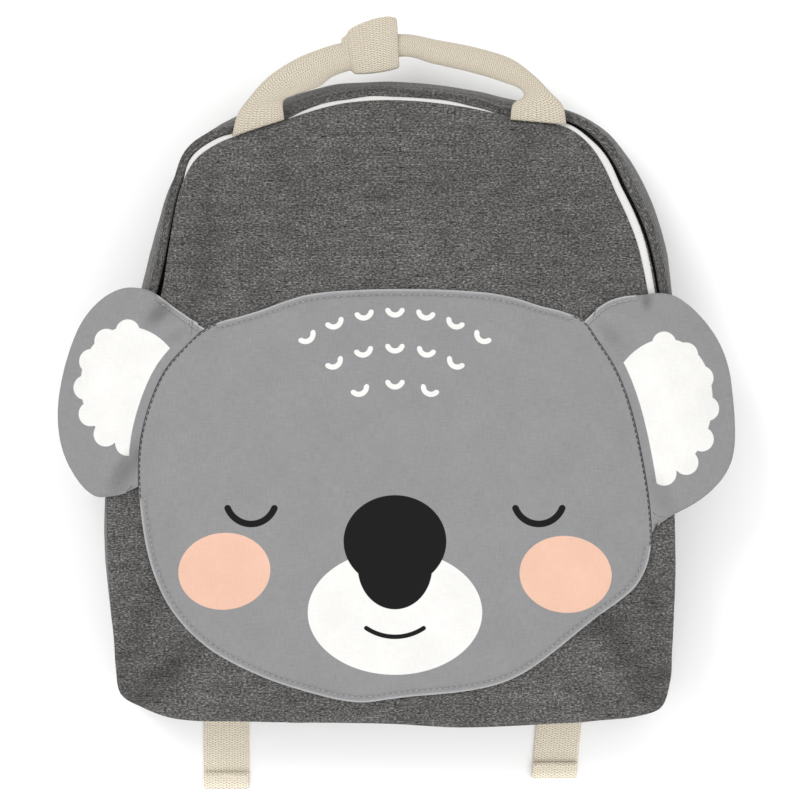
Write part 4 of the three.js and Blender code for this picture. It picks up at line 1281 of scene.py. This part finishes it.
class BACKPACK_OT_back_panel(bpy.types.Operator):
    """Canvas back, on the floor and over the straps"""

    bl_idname = "backpack.back_panel"
    bl_label = "Back panel"

    def execute(self, context):
        rim = closed_line(face_rim("back_panel")[:, :2], 360)
        insets = [step * MM for step in (0, 0.3, 0.8, 1.6, 3, 5, 8, 12)]

        def top_at(x, y, inset):
            turned = 0.6 * MM * (1 - smooth(inset / (1.2 * MM)))
            return rest_height(x, y) + CLOTH - turned

        def wall_at(inset):
            return CLOTH - 0.9 * MM * (1 - smooth(inset / (1.2 * MM)))

        canvas = finish_named("heathered_canvas")
        panel = sheet_object("canvas_back", rim, insets, 48, MIDDLE, top_at, wall_at, canvas)
        dress(panel, "heather_canvas", "back_panel")
        return {"FINISHED"}


# Head

HEAD_RIM = closed_line(face_rim("face_panel"), 480)
HEAD_LOW, HEAD_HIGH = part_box("face_panel")
HEAD_MIDDLE = np.array([(HEAD_LOW.x + HEAD_HIGH.x) / 2, (HEAD_LOW.y + HEAD_HIGH.y) / 2])


def ear_edges(node):
    """An ear's sewn edge along the head and its free edge, both from the upper end to the lower one."""
    loop = face_rim(node, -1)
    loop = resample(np.vstack([loop, loop[:1]]), 401)[:-1]
    rim = resample(np.vstack([HEAD_RIM, HEAD_RIM[:1]]), 1500)
    away = distance_to(rim, loop[:, 0], loop[:, 1])
    loop, away = np.roll(loop, -int(np.argmax(away)), axis=0), np.roll(away, -int(np.argmax(away)))
    beside = np.flatnonzero(away < 1.0 * MM)
    first, last, trim = beside[0], beside[-1], 3
    root = loop[first + trim:last + 1 - trim]
    free = np.vstack([root[-1:], loop[last + trim:], loop[:first + 1 - trim], root[:1]])
    if root[0, 1] < root[-1, 1]:
        root = root[::-1]
    if free[0, 1] < free[-1, 1]:
        free = free[::-1]
    return root, free


EAR_ROOTS = np.vstack([resample(ear_edges(node)[0], 200) for node in ("ear_left", "ear_right")])


def away_from_ears(x, y):
    """0 beside an ear's seam, 1 away from it."""
    return smooth((distance_to(EAR_ROOTS, x, y) - 3.4 * MM) / (3 * MM))


def head_top(x, y, inset):
    """Head panel: a rounded lip, a groove under the topstitch and a soft rise, level beside the ears."""
    lip = sizes().lip_width
    free = away_from_ears(x, y)
    rounding = (0.6 + 0.7 * free) * MM * (1 - smooth(inset / (1.1 * MM))) ** 1.5
    groove = 0.75 * MM * np.exp(-((inset - lip) / (0.8 * MM)) ** 2) * free
    rise = 0.7 * MM * smooth((inset - lip) / (12 * MM))
    run = np.arctan2(y - HEAD_MIDDLE[1], x - HEAD_MIDDLE[0]) * 110 * MM
    near = np.exp(-np.maximum(inset - lip, 0) / (6 * MM)) * smooth(inset / (1.2 * MM))
    pucker = 0.8 * sizes().pucker * near * lumps(run, inset * 0.3, 5 * MM, 31)
    soft = (0.5 * lumps(x, y, 26 * MM, 32) + 0.14 * lumps(x, y, 9 * MM, 33)) * MM * smooth(inset / (15 * MM))
    return front_height(x, y) + HEAD_LIFT + HEAD_WALL - rounding - groove + rise + pucker + soft


class BACKPACK_OT_head(bpy.types.Operator):
    """Printed head panel with a turned and topstitched edge"""

    bl_idname = "backpack.head"
    bl_label = "Head"

    def execute(self, context):
        steps = (0, 0.2, 0.5, 0.9, 1.4, 1.9, 2.3, 2.6, 2.9, 3.3, 3.9, 4.8, 6, 8, 10.5, 13)

        def wall_at(inset):
            return 0.9 * MM + 0.9 * MM * smooth(inset / (1.0 * MM))

        panel = sheet_object("head_front", HEAD_RIM[:, :2], [step * MM for step in steps], 52, HEAD_MIDDLE,
                             head_top, wall_at, finish_named("printed_head"))
        self.marks(panel.data)
        dress(panel, "head_cloth", "face_panel")
        free = away_from_ears(HEAD_RIM[:, 0], HEAD_RIM[:, 1]) > 0.5
        for name, wanted, depth, thread in (("ear_seam_stitches", False, 0.5 * MM, "dark_thread"),
                                            ("head_stitches", True, sizes().lip_width, "grey_thread")):
            inner = HEAD_RIM[:, :2] - sideways(HEAD_RIM, True) * depth
            height = head_top(inner[:, 0], inner[:, 1], np.full(len(inner), depth)) + 0.12 * MM
            line = np.column_stack([inner, height])
            line = np.vstack([line, line[:1]])
            chosen = np.append(free, free[0]) == wanted
            beads(name, runs_of(line, chosen), sizes().stitch_pitch, stitch_size(), thread, "head_cloth")
        return {"FINISHED"}

    def marks(self, mesh):
        """No painted edge highlight or groove shade beside the ears, and print up to the rim."""
        x, y = places_of(mesh)
        inset = np.zeros(len(x))
        mesh.attributes["inset"].data.foreach_get("value", inset)
        set_mark(mesh, "inset", inset + 4 * MM * (1 - away_from_ears(x, y)))
        set_mark(mesh, "seam", np.ones(len(x)))


def runs_of(line, chosen):
    """Unbroken stretches of a closed line where chosen is true."""
    turned = int(np.argmin(chosen[:-1]))
    line = np.vstack([np.roll(line[:-1], -turned, axis=0), line[turned]])
    chosen = np.append(np.roll(chosen[:-1], -turned), chosen[turned])
    stretches, current = [], []
    for point, wanted in zip(line, chosen):
        if wanted:
            current.append(point)
        elif current:
            stretches.append(current)
            current = []
    if current:
        stretches.append(current)
    return [np.array(stretch) for stretch in stretches if len(stretch) > 3]


def ear_creases(node, x, y):
    """Depth of an ear's creases, which spread from the ends of its seam."""
    low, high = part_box(node)
    depth = np.zeros(np.shape(x))
    for row in EAR_CREASES[node]:
        dx = x - (low.x + high.x) / 2 - row["across"] * (high.x - low.x) / 2
        dy = y - (low.y + high.y) / 2 - row["up"] * (high.y - low.y) / 2
        turn = math.radians(row["turn"])
        along = (dx * math.cos(turn) + dy * math.sin(turn)) / (row["long"] * MM)
        over = (dy * math.cos(turn) - dx * math.sin(turn)) / (row["wide"] * MM)
        depth += row["deep"] * MM * np.exp(-along ** 2 - over ** 2)
    return depth


def ear_height(node, x, y, from_edge, from_seam):
    """Height of an ear's upper face, puffed by its padding."""
    rounding = 1.0 * MM * (1 - smooth(from_edge / (1.6 * MM))) ** 1.5
    tuck = 0.5 * MM * (1 - smooth(from_seam / (3.5 * MM)))
    puff = sizes().ear_puff * smooth((from_edge + 2 * MM) / (20 * MM))
    puff = puff * smooth((from_seam + 1 * MM) / (22 * MM))
    seed = 41 if node == "ear_left" else 42
    uneven = 0.35 * MM * lumps(x, y, 13 * MM, seed) * smooth(from_edge / (6 * MM))
    creases = ear_creases(node, x, y) * smooth(from_seam / (3 * MM))
    creases = creases * smooth((from_edge + 1 * MM) / (3 * MM))
    top = front_height(x, y) + HEAD_LIFT + 2.2 * MM + puff - rounding - tuck - creases + uneven
    return np.maximum(top, front_height(x, y) + HEAD_LIFT + 1.15 * MM)


def ear_object(node):
    """Padded ear between its sewn edge and its free edge, with a stitched lip at the seam's upper end."""
    root, free = ear_edges(node)
    rows, columns = 110, 56
    seam = open_line(resample(root, 30), rows)
    edge = open_line(resample(free, 32), rows)
    share = smooth(np.linspace(0, 1, columns)) * 0.35 + np.linspace(0, 1, columns) * 0.65
    grid = seam[:, None, :2] * (1 - share[None, :, None]) + edge[:, None, :2] * share[None, :, None]
    x, y = grid[:, :, 0], grid[:, :, 1]
    free_line, root_line = resample(edge, 500), resample(root, 400)
    from_edge = distance_to(free_line, x, y)
    from_seam = distance_to(root_line, x, y)
    top = ear_height(node, x, y, from_edge, from_seam)
    under = front_height(x, y) + HEAD_LIFT + 0.35 * MM * (1 - smooth(from_edge / (1.2 * MM)))
    points = np.concatenate([np.dstack([x, y, top]), np.dstack([x, y, under])[:, ::-1]], axis=1)
    uv = np.concatenate([grid, grid[:, ::-1]], axis=1)
    lip_end = free_line[0]
    beyond = np.hypot(x - lip_end[0], y - lip_end[1])
    # The painted edge highlight and groove shade reach only the lip near the seam's upper end.
    inset = from_edge + 4 * MM * smooth((beyond - EAR_LIP_LENGTH) / (4 * MM))
    # Painted shade in the creases: full where a crease is 3.6 mm deep.
    folded = np.clip(ear_creases(node, x, y) / (3.6 * MM), 0, 1)
    marks = {label: np.concatenate([values, values[:, ::-1]], axis=1)
             for label, values in (("inset", inset), ("seam", from_seam), ("crease_shade", folded))}
    name = "padded_" + node
    piece = loft_object(name, points, ear_cloth(name + "_cloth", node), uv, marks)
    dress(piece, "head_cloth", node)
    ear_stitches(node, free_line, root_line, grid.mean(axis=(0, 1)))


def ear_stitches(node, free_line, root_line, middle):
    """Stitches along an ear's lip, from its seam."""
    lip = 2.3 * MM
    near = free_line[np.hypot(*(free_line[:, :2] - free_line[0, :2]).T) < EAR_LIP_LENGTH]
    near = open_line(near[distance_to(root_line, near[:, 0], near[:, 1]) > 4 * MM][::12], 60)
    across = sideways(near, False)
    inwards = np.sign(np.sum(across * (middle - near[:, :2]), axis=1))
    line = near[:, :2] + across * (lip * inwards)[:, None]
    from_root = distance_to(root_line, line[:, 0], line[:, 1])
    height = ear_height(node, line[:, 0], line[:, 1], np.full(len(line), lip), from_root)
    beads("padded_" + node + "_stitches", [np.column_stack([line, height + 0.1 * MM])], sizes().stitch_pitch,
          stitch_size(), "grey_thread", "head_cloth")


class BACKPACK_OT_ears(bpy.types.Operator):
    """Padded ears sewn under the head's edge"""

    bl_idname = "backpack.ears"
    bl_label = "Ears"

    def execute(self, context):
        for node in ("ear_left", "ear_right"):
            ear_object(node)
        return {"FINISHED"}


# Handle

HANDLE_WIDTH = 25 * MM

# Section of the wrap, from under its left edge to its right one and back over it: share of its width, and
# how far it stands off the handle, in millimetres past a number of walls
WRAP_SECTION = (
    (0.10, 0.3, 0),
    (0.5, 0.3, 0),
    (0.94, 0.3, 0),
    (1.0, 0.9, 0),
    (1.0, -0.6, 1),
    (0.97, 0.0, 1),
    (0.75, 0.12, 1),
    (0.5, 0.2, 1),
    (0.25, 0.12, 1),
    (0.13, 0.0, 1),
    (0.115, -1.5, 1),
    (0.03, -1.6, 1),
    (0.0, -2.0, 1),
    (0.0, 0.9, 0),
)


def handle_line(count):
    """Stations along the handle (both edges in x and y, thickness, droop), and how far along they lie."""
    low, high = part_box("carry_handle")
    across = [row[key] for row in HANDLE_RUN for key in ("out_across", "in_across")]
    middle_x = (low.x + high.x) / 2 - (min(across) + max(across)) / 2 * HANDLE_HALF_SPAN
    ups = [row[key] for row in HANDLE_RUN for key in ("out_up", "in_up")]
    base_y = high.y - max(ups) * HANDLE_RISE
    rows = [[middle_x + row["out_across"] * HANDLE_HALF_SPAN, base_y + row["out_up"] * HANDLE_RISE,
             middle_x + row["in_across"] * HANDLE_HALF_SPAN, base_y + row["in_up"] * HANDLE_RISE,
             row["layers"] * WEBBING_WALL, row["droop"] * HANDLE_DROOP] for row in HANDLE_RUN]
    line = spline(rows, False, 14)
    middles = (line[:, 0:2] + line[:, 2:4]) / 2
    runs = runs_along(middles)
    wanted = np.linspace(0, runs[-1], count)
    stations = np.stack([np.interp(wanted, runs, column) for column in line.T], axis=1)
    return stations, wanted


def handle_loops(stations, stand_off):
    """Closed loops round the handle, standing off its surface by a distance."""
    count = 15
    ends = [seam_at(np.arctan2(row[1] - MIDDLE[1], row[0] - MIDDLE[0]))[1] for row in stations[[0, -1], :2]]
    level = max(ends) + WEBBING_WALL / 2 + 1.2 * MM
    outer, inner, thick, droop = stations[:, 0:2], stations[:, 2:4], stations[:, 4], stations[:, 5]
    folded = smooth((thick / WEBBING_WALL - 1) / 1.5)
    middle = (outer + inner) / 2
    half = (outer - inner) / 2
    reach = np.linalg.norm(half, axis=1)
    grow = 1 + stand_off / reach
    loops = []
    for side in (1, -1):
        for share in np.linspace(0, 1, count)[::side]:
            across = math.cos(math.pi * share)
            bulge = math.sqrt(max(1 - across ** 2 * 0.97, 0.0))
            flat = 0.35 + 0.65 * smooth((1 - abs(across)) / 0.12)
            height = thick / 2 * (flat * (1 - folded) + bulge * folded) + stand_off
            place = middle + half * (across * grow)[:, None]
            loops.append(np.column_stack([place, level - droop + side * height]))
    return np.stack(loops, axis=1)


class BACKPACK_OT_handle(bpy.types.Operator):
    """Webbing handle, folded together in its middle, and the sleeve round it"""

    bl_idname = "backpack.handle"
    bl_label = "Handle"

    def execute(self, context):
        stations, along = handle_line(220)
        self.handle(stations, along)
        self.wrap(stations)
        return {"FINISHED"}

    def handle(self, stations, along):
        """Webbing whose sewn ends dip under the seam."""
        loops = handle_loops(stations, 0.0)
        from_end = np.minimum(along, along[-1] - along)
        loops[:, :, 2] -= (2.2 * MM * np.exp(-from_end / (3 * MM)))[:, None]
        half = loops.shape[1] // 2
        across = np.concatenate([np.linspace(0, HANDLE_WIDTH, half), np.linspace(HANDLE_WIDTH, 0, half)])
        uv = map_of(across, along, loops)
        handle = loft_object("webbing_handle", loops, finish_named("shaded_handle_cotton"), uv)
        dress(handle, "cotton_webbing", "carry_handle")

    def wrap(self, stations):
        """Sleeve round the handle, with a doubled left edge."""
        low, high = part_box("handle_wrap")
        size = np.array([high.x - low.x, high.y - low.y])
        ends = np.array([tuple(row.values()) for row in WRAP_RUN])
        ends = np.hstack([ends[:, :2] * size + low[:2], ends[:, 2:] * size + low[:2]])
        wall = 3.6 * MM
        rows = []
        for share, stand_off, walls in WRAP_SECTION:
            edges = [np.interp(share * (len(ends) - 1), range(len(ends)), column) for column in ends.T]
            edges = np.array(edges)
            middle, half = (edges[:2] + edges[2:]) / 2, (edges[:2] - edges[2:]) / 2
            held = half * (1 - wall / np.linalg.norm(half))
            nearest = int(np.argmin(np.abs((stations[:, 0] + stations[:, 2]) / 2 - middle[0])))
            station = np.concatenate([middle + held, middle - held, stations[nearest, 4:]])
            rows.append(handle_loops(station[None, :], walls * wall + stand_off * MM)[0])
        rings = np.stack(rows, axis=1)
        round_it = runs_along(rings[:, 7])
        shares = np.array([row[0] for row in WRAP_SECTION]) * HANDLE_WIDTH
        uv = map_of(shares, round_it, rings)
        wrap = ring_object("webbing_wrap", rings, finish_named("shaded_handle_cotton"), uv)
        finish = wrap.modifiers.new("soften", "SUBSURF")
        finish.levels = finish.render_levels = 2
        dress(wrap, "cotton_webbing", "handle_wrap")


# Straps

TAIL_WIDTH = 21 * MM


def ribbon(name, path, width, wall, middle_x, lean, material):
    """Flat webbing along a path of y and z, with rounded edges."""
    line = open_line(np.array(path), 150)
    along = runs_along(line)
    slope = np.gradient(line, axis=0)
    slope /= np.linalg.norm(slope, axis=1)[:, None]
    up = np.column_stack([-slope[:, 1], slope[:, 0]])
    shares = np.array([-1, -0.97, -0.85, -0.6, -0.3, 0, 0.3, 0.6, 0.85, 0.97, 1])
    loops = []
    for side in (1, -1):
        for share in shares[::side]:
            edge = 0.45 if abs(share) == 1 else (0.8 if abs(share) > 0.9 else 1.0)
            offset = up * (side * wall / 2 * edge)
            x = middle_x + share * width / 2 + lean * np.minimum(line[:, 0] - PANEL_LOW.y, 0)
            frayed = lumps(along, np.full(len(along), share * 5 * MM), 6 * MM, 51)
            x = x + 0.12 * MM * frayed * (abs(share) > 0.9)
            loops.append(np.column_stack([x, line[:, 0] + offset[:, 0], line[:, 1] + offset[:, 1]]))
    sections = np.stack(loops, axis=1)
    across = np.concatenate([shares, shares[::-1]]) * width / 2
    return loft_object(name, sections, material, map_of(across, along, sections))


class BACKPACK_OT_straps(bpy.types.Operator):
    """Padded straps, adjusters and webbing under the back, with the free tails below the base"""

    bl_idname = "backpack.straps"
    bl_label = "Straps"

    def execute(self, context):
        for side, sign in (("left", -1), ("right", 1)):
            self.pad(side, sign)
            self.webbing(side, sign)
            bevelled("strap_adjuster_" + side, "black_plastic", 0.5 * MM)
        return {"FINISHED"}

    def pad(self, side, sign):
        """Padded strap with a stitched line along both edges."""
        low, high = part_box("shoulder_strap_" + side)
        rows = [(high.y - row["down"] * (high.y - low.y), row["wide"] * PAD_WIDTH, row["thick"] * high.z)
                for row in PAD_RUN]
        line = open_line(np.array(rows), 120)
        shares = np.linspace(-1, 1, 25)
        top, under, edges = [], [], []
        for share in shares:
            x = BAG_MIDDLE_X + sign * strap_out(line[:, 0]) + share * line[:, 1] / 2
            from_edge = (1 - abs(share)) * line[:, 1] / 2
            crown = line[:, 2] * (0.42 + 0.58 * smooth(from_edge / (9 * MM)))
            groove = 0.8 * MM * np.exp(-((from_edge - 3.2 * MM) / (0.9 * MM)) ** 2)
            soft = 0.2 * MM * lumps(x, line[:, 0], 14 * MM, 61)
            top.append(np.column_stack([x, line[:, 0], np.clip(crown - groove + soft, 1.2 * MM, high.z)]))
            rounding = 0.9 * MM * (1 - smooth(from_edge / (2.5 * MM)))
            under.append(np.column_stack([x, line[:, 0], 0.05 * MM + rounding]))
        sections = np.stack(top + under[::-1], axis=1)
        uv = np.stack([sections[:, :, 0], sections[:, :, 1]], axis=2)
        piece = loft_object("padded_strap_" + side, sections, finish_named("heathered_canvas"), uv)
        dress(piece, "heather_canvas", "shoulder_strap_" + side)
        for edge_sign in (-1, 1):
            x = BAG_MIDDLE_X + sign * strap_out(line[:, 0]) + edge_sign * (line[:, 1] / 2 - 3.2 * MM)
            edges.append(np.column_stack([x, line[:, 0], np.full(len(line), 0.02 * MM)])[6:-10])
        beads("strap_stitches_" + side, edges, sizes().stitch_pitch, stitch_size(), "canvas_thread",
              "heather_canvas")

    def webbing(self, side, sign):
        """Webbing from the base seam round the adjuster's bar and back to the tail, with its folded end."""
        low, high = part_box("strap_webbing_" + side)
        bar_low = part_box("strap_adjuster_" + side)[0]
        wall = 1.5 * MM
        upper = high.z - 0.8 * MM
        radius = upper / 2 - 0.4 * MM
        turn_y = high.y - radius - 0.8 * MM
        base = PANEL_LOW.y + 3 * MM
        path = [(base, 2.75 * MM), (base + 5 * MM, 2.75 * MM)]
        path += [(bar_low.y - 6 * MM, upper), (bar_low.y, upper), (turn_y, upper)]
        for degrees in (60, 30, 0, -30, -60):
            angle = math.radians(degrees)
            path.append((turn_y + radius * math.cos(angle), upper / 2 + 0.4 * MM + radius * math.sin(angle)))
        floor_z = 0.85 * MM
        fold_z = floor_z + 1.5 * MM
        end = low.y + 0.9 * MM
        path += [(turn_y, floor_z), (base, floor_z), (base - 12 * MM, floor_z), (end + 1.2 * MM, floor_z)]
        path += [(end, floor_z + 0.75 * MM), (end + 1.2 * MM, floor_z + 1.55 * MM), (end + 6.6 * MM, fold_z)]
        middle_x = BAG_MIDDLE_X + sign * STRAP_LOW_OUT
        lean = 0.09 if sign > 0 else 0.0
        cotton = finish_named("tail_cotton")
        strap = ribbon("webbing_" + side, path, TAIL_WIDTH, wall, middle_x, lean, cotton)
        dress(strap, "cotton_webbing", "strap_webbing_" + side)
        y = end + 5.2 * MM
        x = middle_x + lean * min(y - PANEL_LOW.y, 0) + np.linspace(-8.8, 8.8, 20) * MM
        line = np.column_stack([x, np.full(20, y), np.full(20, fold_z + wall / 2 + 0.1 * MM)])
        stitch = (1.5 * MM, 0.5 * MM, 0.45 * MM)
        beads("tail_stitches_" + side, [line], 2.0 * MM, stitch, "cream_thread", "cotton_webbing")


# Stage

PHOTO_SIDE = 800 * 0.46 * MM  # what the picture's side covers at the height of the front
FRONT_LEVEL = 0.055
LENS = 250.0
SENSOR = 36.0


def soft_light(name, place, size, power):
    """Round soft lamp that points at the bag."""
    light = bpy.data.lights.new(name, "AREA")
    light.shape = "DISK"
    light.size = size
    light.energy = power
    lamp = bpy.data.objects.new(name, light)
    lamp.location = place
    lamp.rotation_euler = (Vector((0, 0, 0.03)) - Vector(place)).to_track_quat("-Z", "Y").to_euler()
    bpy.context.scene.collection.objects.link(lamp)


class BACKPACK_OT_stage(bpy.types.Operator):
    """Pale floor, soft light and a camera straight above"""

    bl_idname = "backpack.stage"
    bl_label = "Stage"

    def execute(self, context):
        scene = context.scene
        scene.view_settings.view_transform = "Standard"
        half = 6.0
        mesh = bpy.data.meshes.new("floor")
        corners = [(-half, -half, 0), (half, -half, 0), (half, half, 0), (-half, half, 0)]
        mesh.from_pydata(corners, [], [(0, 1, 2, 3)])
        floor = bpy.data.objects.new("floor", mesh)
        scene.collection.objects.link(floor)
        material, _, shader = new_material("pale_floor", 0.9)
        shader.inputs["Base Color"].default_value = (0.97, 0.97, 0.97, 1)
        mesh.materials.append(material)
        camera_data = bpy.data.cameras.new("camera")
        camera_data.lens = LENS
        camera_data.sensor_width = SENSOR
        camera_data.clip_end = 50
        camera = bpy.data.objects.new("camera", camera_data)
        camera.location = (1.6 * MM, 4.15 * MM, FRONT_LEVEL + PHOTO_SIDE * LENS / SENSOR)
        scene.collection.objects.link(camera)
        scene.camera = camera
        world = bpy.data.worlds.new("soft_room")
        world.use_nodes = True
        world.node_tree.nodes["Background"].inputs["Color"].default_value = (1, 1, 1, 1)
        world.node_tree.nodes["Background"].inputs["Strength"].default_value = 1.02
        scene.world = world
        soft_light("key", (-0.9, 1.0, 1.9), 1.1, 17.0)
        soft_light("fill", (1.3, -0.6, 1.8), 1.4, 9.0)
        soft_light("low_fill", (-0.1, -1.5, 1.0), 0.9, 4.0)
        return {"FINISHED"}


OPERATORS = (
    BACKPACK_OT_stage,
    BACKPACK_OT_front_panel,
    BACKPACK_OT_back_panel,
    BACKPACK_OT_gussets,
    BACKPACK_OT_zip,
    BACKPACK_OT_head,
    BACKPACK_OT_ears,
    BACKPACK_OT_handle,
    BACKPACK_OT_straps,
)


class BACKPACK_PT_panel(bpy.types.Panel):
    """Lists the sizes, colours and pieces of the backpack"""

    bl_idname = "BACKPACK_PT_panel"
    bl_label = "Backpack"
    bl_space_type = "VIEW_3D"
    bl_region_type = "UI"
    bl_category = "Backpack"

    def draw(self, context):
        for group in (context.scene.backpack_sizes, context.scene.backpack_colours):
            for name in group.__annotations__:
                self.layout.prop(group, name)
        for operator in OPERATORS:
            self.layout.operator(operator.bl_idname)


CLASSES = (BackpackSizes, BackpackColours, *OPERATORS, BACKPACK_PT_panel)


def register():
    for item in CLASSES:
        bpy.utils.register_class(item)
    bpy.types.Scene.backpack_sizes = bpy.props.PointerProperty(type=BackpackSizes)
    bpy.types.Scene.backpack_colours = bpy.props.PointerProperty(type=BackpackColours)


def unregister():
    del bpy.types.Scene.backpack_colours
    del bpy.types.Scene.backpack_sizes
    for item in reversed(CLASSES):
        bpy.utils.unregister_class(item)


def main():
    register()
    for operator in OPERATORS:
        family, name = operator.bl_idname.split(".")
        getattr(getattr(bpy.ops, family), name)()


if __name__ == "__main__":
    main()
